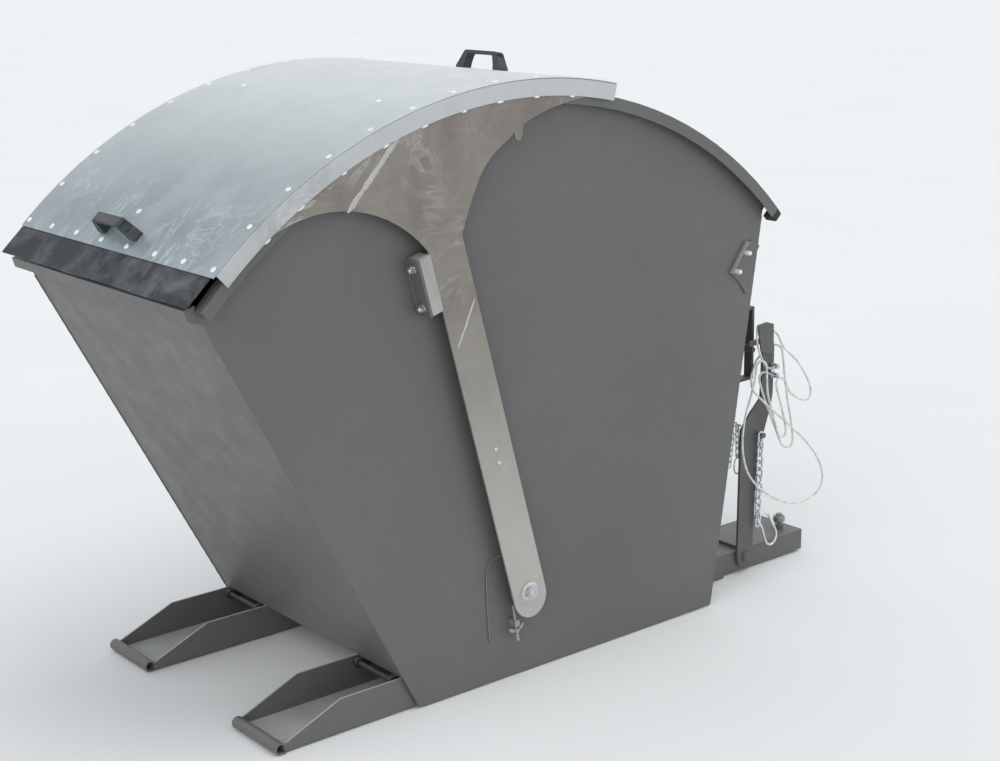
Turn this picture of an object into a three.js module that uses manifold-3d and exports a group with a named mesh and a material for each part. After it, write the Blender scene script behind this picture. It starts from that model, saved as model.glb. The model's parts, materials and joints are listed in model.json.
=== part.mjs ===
// Tipping bin with fork pockets and a curved swing-over lid. Millimetres, +Z up.
// +Y is the rear (the side that is lifted), -Y the side the load is tipped over, X across.
import * as THREE from 'three';
import { mergeVertices } from 'three/addons/utils/BufferGeometryUtils.js';
import Module from 'manifold-3d';

const wasm = await Module();
wasm.setup();

// ---------- driving dimensions (lengths in mm, angles in degrees) ----------
const Y_SHIFT = 864.45;            // drawing frame to model frame, so that the origin is under the box's centre
const GAP = 0.4;                // gap between touching pieces
const HALF_W = 400;             // bin body, half of the outside width
const WALL = 4;                 // body sheet
const FRONT_Z0 = -5, FRONT_Y0 = 410, FRONT_SLOPE = 0.5249;   // front wall's outer line, Y falls as Z rises
const REAR_Y0 = 1401, REAR_SLOPE = 0.1487;                   // rear wall's outer line
const PLATE_Z = 3;              // side plates end just above the ground
const FLOOR_Z = 88;             // underside of the bin floor
const PIVOT_Y = 721, PIVOT_Z = 227;                          // lid pivots, and centre of every arc
const R_PLATE = 1199.4, R_RIM = 1203.6, RIM_LEG = 28, RIM_X = 430, RIM_T = 3.5;
const RIM_A0 = 44.2, RIM_A1 = 136.4;                         // rim from rear to front
const FRONT_TOP_Z = 1021;       // top of the front wall
const R_SHEET_IN = 1234, R_SHEET_OUT = 1236.5, LID_X = 440;
const LID_A0 = 77.1, LID_A1 = 133.3;                         // lid sheet from rear to front
const LEG_R = 1194, LEG_T = 3;                               // lid edge angle
const ARM_X0 = 430.8, ARM_X1 = 436.4, ARM_W = 101, ARM_A = 105.3;
const LID_OPEN = 48;            // lid swing to its rear stop
const RUN_X0 = 203, RUN_X1 = 388, RUN_T = 5, RUN_H = 87.6, RUN_KNEE = 185, TIP_Y = 13.2, TIP_D = 29.6;
const HINGE_Y = 352.2, HINGE_Z = 75, PIN_R = 7, EYE_R = 12.5;
const SLEEVE_X0 = 102, SLEEVE_X1 = 276, SLEEVE_Z0 = 6, SLEEVE_Z1 = 66, SLEEVE_END = 1916, TUBE_T = 6;
const CHAIN_TOP = 408, CHAIN_Y = 1694;
const LEVER_Y = 1662, LEVER_Z = 46, LEVER_X0 = 280, LEVER_X1 = 288;

// ---------- materials ----------
const mat = (color, roughness, metalness) => new THREE.MeshStandardMaterial({ color, roughness, metalness });
const paint = mat(0x686868, 0.5, 0.15);
const paintDark = mat(0x5a5a5a, 0.55, 0.15);
const galv = mat(0xb4bcc0, 0.4, 0.8);
const galvArm = mat(0x96928a, 0.5, 0.7);
const zinc = mat(0xc8ccd0, 0.3, 0.9);
const rubber = mat(0x3a3d40, 0.85, 0.0);
const plastic = mat(0x2a2e33, 0.45, 0.0);
const buffer = mat(0xa0a2a0, 0.6, 0.1);
const rope = mat(0xc8cac4, 0.5, 0.1);

// ---------- helpers ----------
const D = Math.PI / 180;
const frontY = z => FRONT_Y0 - (z - FRONT_Z0) * FRONT_SLOPE;
const rearY = z => REAR_Y0 + (z - PLATE_Z) * REAR_SLOPE;
const polar = (r, a) => [PIVOT_Y + r * Math.cos(a * D), PIVOT_Z + r * Math.sin(a * D)];
const arc = (r, a0, a1, n) => Array.from({ length: n + 1 }, (_, i) => polar(r, a0 + (a1 - a0) * i / n));
const circle = (y, z, r, n = 24) => Array.from({ length: n }, (_, i) => [y + r * Math.cos(2 * Math.PI * i / n), z + r * Math.sin(2 * Math.PI * i / n)]);

function solid(geo) {
  const g = geo.index ? geo.clone() : geo.clone();
  g.deleteAttribute('normal'); g.deleteAttribute('uv');
  const m = mergeVertices(g, 1e-4);
  return new wasm.Manifold(new wasm.Mesh({ numProp: 3, vertProperties: new Float32Array(m.attributes.position.array), triVerts: new Uint32Array(m.index.array) }));
}
function toGeo(man) {
  const m = man.getMesh();
  const pos = new Float32Array(m.numVert * 3);
  for (let i = 0; i < m.numVert; i++) for (let k = 0; k < 3; k++) pos[i * 3 + k] = m.vertProperties[i * m.numProp + k];
  const g = new THREE.BufferGeometry();
  g.setAttribute('position', new THREE.BufferAttribute(pos, 3));
  g.setIndex(new THREE.BufferAttribute(new Uint32Array(m.triVerts), 1));
  g.computeVertexNormals();
  return g;
}
function shapeOf(pts, holes = []) {
  const s = new THREE.Shape(pts.map(p => new THREE.Vector2(p[0], p[1])));
  for (const h of holes) s.holes.push(new THREE.Path(h.map(p => new THREE.Vector2(p[0], p[1]))));
  return s;
}
// outline in (Y, Z), extruded along X from x0 to x1
function yz(pts, x0, x1, holes = []) {
  const g = new THREE.ExtrudeGeometry(shapeOf(pts, holes), { depth: x1 - x0, bevelEnabled: false });
  const b = new THREE.Matrix4().makeBasis(new THREE.Vector3(0, 1, 0), new THREE.Vector3(0, 0, 1), new THREE.Vector3(1, 0, 0));
  g.applyMatrix4(b); g.translate(x0, 0, 0);
  return solid(g);
}
// outline in (X, Z), extruded along Y from y0 to y1
function xz(pts, y0, y1, holes = []) {
  const g = new THREE.ExtrudeGeometry(shapeOf(pts, holes), { depth: y1 - y0, bevelEnabled: false });
  const b = new THREE.Matrix4().makeBasis(new THREE.Vector3(1, 0, 0), new THREE.Vector3(0, 0, 1), new THREE.Vector3(0, -1, 0));
  g.applyMatrix4(b); g.translate(0, y1, 0);
  return solid(g);
}
const box = (x0, x1, y0, y1, z0, z1) => { const g = new THREE.BoxGeometry(x1 - x0, y1 - y0, z1 - z0); g.translate((x0 + x1) / 2, (y0 + y1) / 2, (z0 + z1) / 2); return solid(g); };
const cylX = (y, z, r, x0, x1, n = 24) => yz(circle(y, z, r, n), x0, x1);
function cylZ(x, y, r, z0, z1, n = 24) { const g = new THREE.CylinderGeometry(r, r, z1 - z0, n); g.rotateX(Math.PI / 2); g.translate(x, y, (z0 + z1) / 2); return solid(g); }
const ringX = (y, z, ro, ri, x0, x1, n = 28) => yz(circle(y, z, ro, n), x0, x1, [circle(y, z, ri, n)]);
const hexX = (y, z, af, x0, x1) => yz(circle(y, z, af / Math.sqrt(3), 6), x0, x1);
const add = (...s) => s.reduce((a, b) => a.add(b));
const cut = (a, ...s) => s.reduce((x, b) => x.subtract(b), a);
// strip of thickness t to the left of a polyline in (Y, Z)
function strip(path, t) {
  const n = path.length, off = [];
  for (let i = 0; i < n; i++) {
    const a = path[Math.max(i - 1, 0)], p = path[i], b = path[Math.min(i + 1, n - 1)];
    const u = i > 0 ? new THREE.Vector2(p[0] - a[0], p[1] - a[1]).normalize() : null;
    const v = i < n - 1 ? new THREE.Vector2(b[0] - p[0], b[1] - p[1]).normalize() : null;
    const m = (u && v) ? u.clone().add(v).normalize() : (u || v);
    const k = (u && v) ? 1 / Math.max(0.35, m.dot(u)) : 1;
    off.push([p[0] - m.y * t * k, p[1] + m.x * t * k]);
  }
  return [...path, ...off.reverse()];
}
const mirrorX = man => man.mirror([1, 0, 0]);
// arm frame: s along the arm from the pivot, p across it (positive to the rear)
const AU = [Math.cos(ARM_A * D), Math.sin(ARM_A * D)], AP = [Math.sin(ARM_A * D), -Math.cos(ARM_A * D)];
const arm = (s, p) => [PIVOT_Y + s * AU[0] + p * AP[0], PIVOT_Z + s * AU[1] + p * AP[1]];

const object = new THREE.Group();
object.position.set(0, -Y_SHIFT, 0);
const groups = {};
for (const g of ['base', 'bin', 'lid', 'latch', 'chain']) { groups[g] = new THREE.Group(); object.add(groups[g]); }
function put(group, name, man, material) { const m = new THREE.Mesh(toGeo(man), material); m.name = name; groups[group].add(m); }
function pair(group, name, man, material) { put(group, name + '_near', man, material); put(group, name + '_far', mirrorX(man), material); }

// ---------- bin body ----------
{
  // where the sloped edges meet the plate's arc
  const meet = (yOf) => { let lo = 600, hi = 1400; for (let i = 0; i < 60; i++) { const z = (lo + hi) / 2; (Math.hypot(yOf(z) - PIVOT_Y, z - PIVOT_Z) < R_PLATE) ? lo = z : hi = z; } return lo; };
  const zf = meet(frontY), zr = meet(rearY);
  const af = Math.atan2(zf - PIVOT_Z, frontY(zf) - PIVOT_Y) / D, ar = Math.atan2(zr - PIVOT_Z, rearY(zr) - PIVOT_Y) / D;
  const outline = [[frontY(PLATE_Z), PLATE_Z], [REAR_Y0, PLATE_Z], [rearY(zr), zr], ...arc(R_PLATE, ar, af, 30).slice(1, -1), [frontY(zf), zf]];
  pair('bin', 'side_plate', yz(outline, HALF_W - WALL, HALF_W, [circle(PIVOT_Y, PIVOT_Z, 10.6, 24)]), paint);

  const xi = HALF_W - WALL - GAP;
  const n = [0.8854, 0.4648];                      // from the front wall's outer face towards the inside
  const a = [frontY(FLOOR_Z), FLOOR_Z], b = [frontY(FRONT_TOP_Z), FRONT_TOP_Z];
  put('bin', 'front_wall', yz([a, [a[0] + n[0] * WALL, a[1] + n[1] * WALL], [b[0] + n[0] * WALL, b[1] + n[1] * WALL], b].map(p => p), -xi, xi), paint);
  // folded lip at the top of the front wall
  const l0 = [frontY(FRONT_TOP_Z) - 3.8, FRONT_TOP_Z + 1.3];
  // each end is closed by a plate that fills the corner up to the rim
  const tipUp = [-150, 1067], out = z => [frontY(z) - 0.6, z];
  const lipEnd = [l0, [-171, 1037], [-177.5, 1060], tipUp, polar(R_RIM - 0.4, RIM_A1 + 0.08), out(1053), out(1025)].reverse();
  const lipCap = yz(lipEnd, HALF_W - WALL, HALF_W);
  put('bin', 'front_lip', add(yz(strip([l0, [-171, 1037], [-177.5, 1060], tipUp].reverse(), 3), -HALF_W, HALF_W), lipCap, mirrorX(lipCap)), paint);
  // rear wall with its folded top
  const zt = 1052;
  const r0 = [rearY(FLOOR_Z), FLOOR_Z], r1 = [rearY(zt), zt];
  put('bin', 'rear_wall', yz([[r0[0] - WALL, FLOOR_Z], r0, r1, [r1[0] - WALL, zt]], -xi, xi), paint);
  put('bin', 'floor_sheet', yz([[frontY(FLOOR_Z) + 7.2, FLOOR_Z], [rearY(FLOOR_Z) - WALL - GAP, FLOOR_Z], [rearY(FLOOR_Z + 4) - WALL - GAP, FLOOR_Z + 4], [frontY(FLOOR_Z + 4) + 7.2, FLOOR_Z + 4]], -xi, xi), paint);
  // fixed curved cover over the rear of the opening, which the lid slides over
  const cov = [...arc(R_RIM - 3.2, 44.8, 80, 20), ...arc(R_RIM, 44.8, 80, 20).reverse()];
  put('bin', 'rear_cover', yz(cov.slice().reverse(), -xi, xi), paint);
  // rolled rim angle on each side plate: flange on top, leg hanging on the outside
  const flange = yz([...arc(R_PLATE + GAP, RIM_A0, RIM_A1, 32), ...arc(R_RIM, RIM_A0, RIM_A1, 32).reverse()].reverse(), HALF_W - WALL, RIM_X);
  const leg = yz([...arc(R_RIM - RIM_LEG, RIM_A0, RIM_A1, 32), ...arc(R_RIM, RIM_A0, RIM_A1, 32).reverse()].reverse(), RIM_X - RIM_T, RIM_X);
  const rimCap = yz([polar(R_RIM - RIM_LEG, RIM_A1 - 0.2), polar(R_RIM - RIM_LEG, RIM_A1), polar(R_RIM, RIM_A1), polar(R_RIM, RIM_A1 - 0.2)].reverse(), HALF_W + GAP, RIM_X);
  pair('bin', 'rim_angle', add(flange, leg, rimCap), paint);
  // front stop: bolted bracket and buffer against the arm's front edge
  const q = (s0, s1, p0, p1) => [arm(s0, p0), arm(s0, p1), arm(s1, p1), arm(s1, p0)];
  pair('bin', 'front_stop_bracket', yz(q(782.6, 921.6, -91, -84.4), HALF_W + GAP, 444.4), paint);
  pair('bin', 'front_stop_buffer', yz(q(784, 921, -84, -51.3), HALF_W + 2, 444), buffer);
  // rear stop: flat plate on the side with a bent tab below, and a pad strip along its front edge
  const ru = [0.612, 0.791], rn = [0.791, -0.612], rp = (s, t) => [1390 + s * ru[0] + t * rn[0], 930 + s * ru[1] + t * rn[1]];
  const rq = (s0, s1, t0, t1) => [rp(s0, t0), rp(s0, t1), rp(s1, t1), rp(s1, t0)];
  const flank = [[17, 53], [112, 53], [124, 66], [127, 99], [36, 106], [26, 108], [12, 140], [3, 136], [14, 98]].map(v => rp(...v));
  pair('bin', 'rear_stop_bracket', yz(flank, HALF_W + GAP, HALF_W + 5.4), paint);
  pair('bin', 'rear_stop_buffer', yz(rq(15, 112, 47, 52.6), HALF_W + GAP, HALF_W + 12), buffer);
  // lid pivot: welded boss, through bolt, washer, bush, lock nut
  pair('bin', 'pivot_boss', ringX(PIVOT_Y, PIVOT_Z, 30, 12, HALF_W + GAP, ARM_X0 - GAP), paintDark);
  pair('bin', 'pivot_bolt', add(cylX(PIVOT_Y, PIVOT_Z, 10, 366, 442, 24), cylX(PIVOT_Y, PIVOT_Z, 27, ARM_X1 + GAP, 441.4, 32), hexX(PIVOT_Y, PIVOT_Z, 30, 441, 454), hexX(PIVOT_Y, PIVOT_Z, 30, 374, 392), cylX(PIVOT_Y, PIVOT_Z, 18, 391, HALF_W - WALL - GAP, 24)), zinc);
  // hinge lugs under the floor's front edge, one in each runner
  const pl = [[HINGE_Y, 64], [440, 64], [440, FLOOR_Z - GAP], [362.5, FLOOR_Z - GAP], [HINGE_Y, 84]];
  let lug = add(box(222, 369, 380, 440, 80, FLOOR_Z - GAP), ...[222, 359].flatMap(x => [cylX(HINGE_Y, HINGE_Z, EYE_R, x, x + 10, 24), yz(pl, x, x + 10)]));
  lug = cut(lug, cylX(HINGE_Y, HINGE_Z, PIN_R + 0.6, 220, 370, 20));
  pair('bin', 'hinge_lug', lug, paintDark);
  // bent-bar striker on the rear wall, with the pin that the latch hook holds down
  const sx0 = 244, sx1 = 272;
  const loop = strip([[rearY(762) + 0.5, 762], [1685, 766], [1689, 560], [rearY(556) + 0.5, 556]].reverse(), 8);
  const pin = cylX(1664, 650, 7, 262, 292, 16);
  const web = yz([[1658, 642], [1686, 642], [1686, 662], [1658, 662]], 262, 272);
  put('bin', 'striker', cut(add(yz(loop, sx0, sx1), web, pin), yz([[rearY(500) - 20, 500], [rearY(500) + GAP, 500], [rearY(900) + GAP, 900], [rearY(900) - 20, 900]], 200, 300)), paint);
  // tension rod of the lid's helper, at the foot of each arm
  const rodDir = [15, -97], L = Math.hypot(15, 97), ux = rodDir[0] / L, uz = rodDir[1] / L;
  const rodAt = t => [683 + ux * t, 197 + uz * t];
  const bar = (t0, t1, w) => { const p = rodAt(t0), r = rodAt(t1), nx = -uz * w, nz = ux * w; return [[p[0] - nx, p[1] - nz], [p[0] + nx, p[1] + nz], [r[0] + nx, r[1] + nz], [r[0] - nx, r[1] - nz]]; };
  const rod = add(yz(bar(0, 98, 4).reverse(), 415, 423), yz(bar(62, 66, 14).reverse(), 405, 429), yz(bar(66, 76, 6.5).reverse(), 412.5, 425.5), yz(bar(40, 56, 7).reverse(), HALF_W + GAP, 425));
  pair('bin', 'helper_rod', rod, zinc);
}

// ---------- lid ----------
{
  const sector = (r0, r1, a0, a1, n) => [...arc(r1, a0, a1, n), ...arc(r0, a0, a1, n).reverse()];
  put('lid', 'lid_sheet', yz(sector(R_SHEET_IN, R_SHEET_OUT, LID_A0, LID_A1, 40), -LID_X, LID_X), galv);
  const legs = add(yz(sector(LEG_R, R_SHEET_IN - GAP, LID_A0 + 0.1, LID_A1 - 0.4, 36), LID_X - LEG_T - 0.2, LID_X - 0.2), yz(sector(R_SHEET_IN - GAP - LEG_T, R_SHEET_IN - GAP, LID_A0 + 0.1, LID_A1 - 0.4, 36), HALF_W + 1, LID_X - 0.2));
  pair('lid', 'lid_edge_angle', legs, galv);
  // side plate with its long arm: one outline, two scalloped edges
  const three = (a, b, c, n) => {                   // circle through three points, from a to c
    const d = 2 * (a[0] * (b[1] - c[1]) + b[0] * (c[1] - a[1]) + c[0] * (a[1] - b[1]));
    const s = p => p[0] * p[0] + p[1] * p[1];
    const ox = (s(a) * (b[1] - c[1]) + s(b) * (c[1] - a[1]) + s(c) * (a[1] - b[1])) / d;
    const oy = (s(a) * (c[0] - b[0]) + s(b) * (a[0] - c[0]) + s(c) * (b[0] - a[0])) / d;
    const r = Math.hypot(a[0] - ox, a[1] - oy);
    let t0 = Math.atan2(a[1] - oy, a[0] - ox), t1 = Math.atan2(c[1] - oy, c[0] - ox), tm = Math.atan2(b[1] - oy, b[0] - ox);
    const w = (t) => ((t % (2 * Math.PI)) + 2 * Math.PI) % (2 * Math.PI);
    const ccw = w(tm - t0) < w(t1 - t0);
    const span = ccw ? w(t1 - t0) : -w(t0 - t1);
    return Array.from({ length: n + 1 }, (_, i) => [ox + r * Math.cos(t0 + span * i / n), oy + r * Math.sin(t0 + span * i / n)]);
  };
  const h = ARM_W / 2;
  const round = Array.from({ length: 17 }, (_, i) => { const t = Math.PI * i / 16; return arm(-12 - 56 * Math.sin(t), -h * Math.cos(t)); });   // from front edge round the foot to rear edge
  const rear0 = arm(926, h);
  const rear = new THREE.SplineCurve([rear0, [547, 1190], [566, 1232], [589, 1272], [625, 1308], [665, 1333], [700, 1358], [773, 1386], [852, 1402], polar(1196, 81)].map(p => new THREE.Vector2(...p))).getPoints(27).map(p => [p.x, p.y]);
  const front0 = arm(928, -h), front = three(polar(1196, 126.8), [186, 1225], front0, 14);
  const tab = [[680, 1345], [684, 1330], [697, 1326], [705, 1338], [708, 1362], [690, 1362]];
  const outline = [...round, ...rear, ...arc(1229, 81, 126.8, 18), ...front];
  let plate = yz(outline, ARM_X0, ARM_X1);
  plate = add(plate, yz([rear0, arm(905, h), arm(905, 0), arm(940, 0)].reverse(), ARM_X0, ARM_X1));
  plate = add(plate, yz(tab, ARM_X0, ARM_X1));
  plate = cut(plate, cylX(PIVOT_Y, PIVOT_Z, 13.4, 420, 440, 28));
  pair('lid', 'lid_arm', plate, galvArm);
  pair('lid', 'pivot_bush', ringX(PIVOT_Y, PIVOT_Z, 13, 10.4, ARM_X0, ARM_X1, 28), mat(0x8a6a3a, 0.5, 0.6));
  // cross bars under the sheet
  const barX = LID_X - LEG_T - 0.2 - GAP;
  put('lid', 'lid_front_bar', yz(sector(1213, 1229.2, 131.0, 132.6, 2), -barX, barX), galv);
  put('lid', 'lid_rear_bar', yz(sector(1213, R_SHEET_IN - GAP - LEG_T - GAP, 77.7, 79.2, 2), -barX, barX), galv);
  put('lid', 'lid_mid_bar', yz(sector(1213, R_SHEET_IN - GAP - LEG_T - GAP, 103.4, 104.9, 2), -(ARM_X0 - GAP), ARM_X0 - GAP), galv);
  // rubber flap: a tongue held under the sheet and a lip that hangs past it
  const hang = [polar(1232.6, 133.45), polar(1240.6, 137.05), polar(1236.4, 137.15), polar(1228.8, 133.45)];
  const tongue = [polar(1233.6, 131.0), ...arc(1233.6, 131.9, 133.6, 2), ...arc(1229.8, 131.9, 133.6, 2).reverse(), polar(1229.8, 131.0)];
  put('lid', 'lid_flap', add(yz(hang, -LID_X + 0.5, 422), yz(tongue, -HALF_W, HALF_W)), rubber);
  // moulded bridge handles, standing on the sheet
  const bridge = (angle, xc, lt, lf, h) => {
    const out = [[-lf, 0], [-(lt - 3), 0], [-(lt - 13), h - 9], [lt - 13, h - 9], [lt - 3, 0], [lf, 0], [lf - 2, 10], [lt, h], [-lt, h], [2 - lf, 10]];
    const g = new THREE.ExtrudeGeometry(shapeOf(out), { depth: 26, bevelEnabled: false });
    // length along X, height outwards, width along the sheet
    const er = [0, Math.cos(angle * D), Math.sin(angle * D)], et = [0, -Math.sin(angle * D), Math.cos(angle * D)];
    const X = new THREE.Vector3(1, 0, 0), Yv = new THREE.Vector3(...er), Z = new THREE.Vector3().crossVectors(X, Yv);
    g.translate(0, 0, -13);
    g.applyMatrix4(new THREE.Matrix4().makeBasis(X, Yv, Z));
    const c = polar(R_SHEET_OUT + 0.4, angle);
    g.translate(xc, c[0], c[1]);
    return solid(g);
  };
  put('lid', 'handle_front', bridge(131.1, -6, 58, 86, 48), plastic);
  put('lid', 'handle_top', bridge(79.45, 0, 60, 88, 46), plastic);
}

// ---------- base frame ----------
{
  // open channel runner with a sloped mouth and a tube across its tip
  const side = [[TIP_Y + TIP_D / 2 + GAP, 0], [1000, 0], [1000, RUN_H], [RUN_KNEE, RUN_H], [TIP_Y + TIP_D / 2 + GAP, 24]];
  let run = add(yz(side, RUN_X0, RUN_X0 + RUN_T), yz(side, RUN_X1 - RUN_T, RUN_X1), box(RUN_X0, RUN_X1, TIP_Y + TIP_D / 2 + GAP, 1000, 0, RUN_T));
  pair('base', 'runner', run, paint);
  pair('base', 'tip_tube', ringX(TIP_Y, TIP_D / 2, TIP_D / 2, 10, RUN_X0 + 2, RUN_X1 + 3, 24), paint);
  pair('base', 'hinge_pin', cylX(HINGE_Y, HINGE_Z, PIN_R, RUN_X0 + RUN_T + GAP, RUN_X1 - RUN_T - GAP, 20), zinc);
  // cross beam behind the runners
  put('base', 'cross_beam', yz([[1000.4, 0], [1080, 0], [1080, RUN_H], [1000.4, RUN_H]], -RUN_X1, RUN_X1, [[[1006, 6], [1074, 6], [1074, 81], [1006, 81]]]), paint);
  // fork pockets and the sleeves that stand out behind the bin
  const tube = (x0, x1, z0, z1, t, y0, y1) => xz([[x0, z0], [x1, z0], [x1, z1], [x0, z1]], y0, y1, [[[x0 + t, z0 + t], [x1 - t, z0 + t], [x1 - t, z1 - t], [x0 + t, z1 - t]]]);
  pair('base', 'fork_pocket', tube(92, 286, 0, 72.4, 5.5, 1080.4, 1578), paint);
  const sleeve = cut(add(tube(SLEEVE_X0, SLEEVE_X1, SLEEVE_Z0, SLEEVE_Z1, TUBE_T, 1578.4, SLEEVE_END), cylZ(230, 1868, 13, SLEEVE_Z1 - 1, SLEEVE_Z1 + 14, 20)), cylZ(230, 1868, 6.6, 50, 90, 20));
  put('base', 'fork_sleeve_near', cut(sleeve, cylX(LEVER_Y, LEVER_Z, 8.4, 260, 280, 20)), paint);
  put('base', 'fork_sleeve_far', mirrorX(sleeve), paint);
  // strap across both sleeves
  put('base', 'rear_strap', box(-271, 271, 1648, 1690, SLEEVE_Z1 + GAP, SLEEVE_Z1 + 8.4), paint);
  // pivot bolt and spacer of the latch lever
  put('base', 'lever_bolt', add(cylX(LEVER_Y, LEVER_Z, 8, SLEEVE_X1 - TUBE_T, 292, 20), hexX(LEVER_Y, LEVER_Z, 24, 288.6, 298)), zinc);
}
{
  const screw = add(cylZ(230, 1868, 6, 62, 104, 16), cylZ(230, 1868, 17, 88, 108, 20), cylZ(230, 1868, 9, 108, 113, 6));
  put('latch', 'lock_screw_near', screw, zinc);
  put('latch', 'lock_screw_far', mirrorX(screw), zinc);
}

// ---------- latch lever ----------
{
  const foot = Array.from({ length: 13 }, (_, i) => { const t = Math.PI + Math.PI * i / 12; return [LEVER_Y + 30 * Math.cos(t), LEVER_Z + 30 * Math.sin(t)]; });
  const barL = [...foot, [1690, 60], [1692, 117], [1697, 300], [1712, 372], [1748, 478], [1754, 512], [1754, 640], [1748, 678], [1704, 678], [1700, 676], [1655, 674], [1653, 660], [1700, 660], [1708, 640], [1708, 560], [1706, 505], [1668, 470], [1630, 425], [1630, 60]];
  let lever = yz(barL, LEVER_X0, LEVER_X1);
  lever = cut(lever, cylX(LEVER_Y, LEVER_Z, 8.5, 270, 295, 20));
  lever = add(lever, cylX(CHAIN_Y, CHAIN_TOP - 4.5, 3.4, LEVER_X1 - 1, 311, 12), cylX(CHAIN_Y, CHAIN_TOP - 4.5, 8, 311, 314, 12));
  put('latch', 'latch_lever', lever, paint);
  // grip paddle bolted to the lever's head
  const pad = [[1695, 639], [1746, 622], [1742, 712], [1713, 721], [1679, 717]];
  put('latch', 'lever_paddle', yz(pad, LEVER_X1 + GAP, LEVER_X1 + 6), paint);
  // clamp plate with two studs that hold the rope's ends
  put('latch', 'rope_bolt', add(box(LEVER_X1 + GAP, 293, 1738.6, 1753.4, 557, 601), ...[566, 592].flatMap(z => [cylX(1746, z, 7.3, 292, 307, 16), hexX(1746, z, 12.6, 306, 311)])), zinc);
}
// ---------- cords and chain ----------
function tubeAlong(points, radius, sides, steps, closed = false) {
  const curve = new THREE.CatmullRomCurve3(points.map(p => new THREE.Vector3(...p)), closed, 'centripetal');
  const sec = new THREE.Shape(Array.from({ length: sides }, (_, i) => new THREE.Vector2(radius * Math.cos(2 * Math.PI * i / sides), radius * Math.sin(2 * Math.PI * i / sides))));
  return solid(new THREE.ExtrudeGeometry(sec, { steps, extrudePath: curve, bevelEnabled: false }));
}
{
  // welded link chain: flat ovals, each turned a quarter against the last
  const chain = (x, y, ztop, n, pitch, wire, width, tilt = 0) => {
    const parts = [];
    for (let i = 0; i < n; i++) {
      const flat = i % 2 === 1, L = pitch + 2 * wire, hw = (width - wire) / 2, hl = L / 2 - wire / 2 - 0.5;
      const pts = [];
      for (let k = 0; k < 12; k++) { const t = 2 * Math.PI * k / 12, c = Math.cos(t), s = Math.sin(t); const u = hw * c, v = (hl - hw) * Math.sign(Math.abs(s) < 1e-9 ? 0 : s) + hw * s; pts.push(flat ? [u, 0, v] : [0, u, v]); }
      const g = tubeAlong(pts, wire / 2, 6, 16, true);
      const zc = ztop - pitch * (i + 0.5);
      parts.push(g.translate([x, y + tilt * i, zc]));
    }
    return add(...parts);
  };
  const main = chain(300, CHAIN_Y, CHAIN_TOP, 11, 25, 6, 22);
  // spring hook on the last link
  const hook = tubeAlong([[303.5, 1706, 165], [303.5, 1708, 119], [305, 1740, 67], [306, 1766, 82], [306, 1762, 144], [305, 1732, 169]], 3.4, 6, 30, true);
  put('chain', 'safety_chain', add(main, hook), zinc);
}
export { groups };

// pull rope: one plastic-covered wire rope, both ends clamped, hung in loops on the lever's head
const ROPE_D = 6;
const ropePoints = [
  [304, 1738, 592], [304.1, 1718.1, 591.1], [303.8, 1701.4, 601.1], [300, 1677.7, 646.7], [294.4, 1674.1, 673.6],
  [286.1, 1683.8, 693.8], [275.2, 1694.9, 706.1], [269, 1713.5, 707.5], [271, 1743.3, 697.6], [286.3, 1763.8, 679.2],
  [295.8, 1782.3, 640.5], [305, 1833.4, 591.3], [307.6, 1875.9, 533.4], [308.5, 1886.5, 511.9], [309, 1890.7, 492.6],
  [309, 1885, 477.9], [309, 1870.5, 472.6], [307.6, 1813.6, 499.2], [304.3, 1789.3, 534.7], [299.9, 1779.9, 601.6],
  [299.2, 1776.8, 621.4], [294.2, 1776.3, 636.3], [281.9, 1772.2, 644.7], [271.8, 1760.6, 641.8], [268.2, 1705.7, 611.1],
  [284, 1675.5, 590.9], [296.3, 1656, 584.3], [307.3, 1641.3, 569.9], [315.8, 1638.5, 548.2], [326.3, 1686.1, 496.9],
  [327.1, 1742.4, 452], [327, 1798.8, 407.3], [327, 1853.6, 360.8], [327, 1902.4, 308], [327, 1929.3, 263.7],
  [327, 1935.7, 228.7], [327, 1920.8, 196.9], [327, 1853.8, 176.2], [327.1, 1783.6, 190.9], [326.2, 1719.2, 222.6],
  [324.9, 1661.1, 264.9], [323.5, 1616.6, 320.8], [320.7, 1599.5, 390], [315.8, 1609.6, 460.9], [309.3, 1639.9, 525.7],
  [306, 1658.6, 574], [307.6, 1660.4, 597.8], [309.7, 1661.7, 613.5], [313.9, 1672.9, 621.7], [317.9, 1685.2, 613.5],
  [319.6, 1688, 597.9], [318.7, 1697.4, 526.8], [317.5, 1723.4, 459.8], [317.5, 1739.9, 419.1], [317.5, 1746.2, 400.2],
  [317.5, 1757.3, 389.2], [317.9, 1772.9, 388.1], [318.1, 1779.3, 401.6], [319, 1758.7, 470.3], [319.8, 1736.3, 525.9],
  [320, 1731.5, 541.2], [319.7, 1732.6, 556.4], [318.7, 1747.4, 560.1], [317, 1765.6, 552.7], [313.4, 1788.9, 485.3],
  [312.5, 1808.7, 416.2], [312.3, 1815.9, 380.9], [312.1, 1817.5, 365], [311.5, 1812.1, 350.4], [311, 1796.6, 348.1],
  [310.5, 1775.8, 358.9], [310.5, 1740.4, 421.5], [309.8, 1706.4, 485], [302.9, 1687.2, 541], [300.6, 1683.9, 556.5],
  [298.6, 1684.3, 572.2], [297.8, 1696.1, 581.6], [299.1, 1711.4, 578.6], [302.9, 1736.3, 566.4]
];
put('latch', 'pull_rope', tubeAlong(ropePoints, ROPE_D / 2, 8, 100), rope);

export default object;
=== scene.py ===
"""Looks of the tipping bin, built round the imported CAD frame. Lengths below are millimetres in the drawing frame."""
import bpy, bmesh, math, random, json
from mathutils import Vector, Matrix, noise as mnoise


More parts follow.
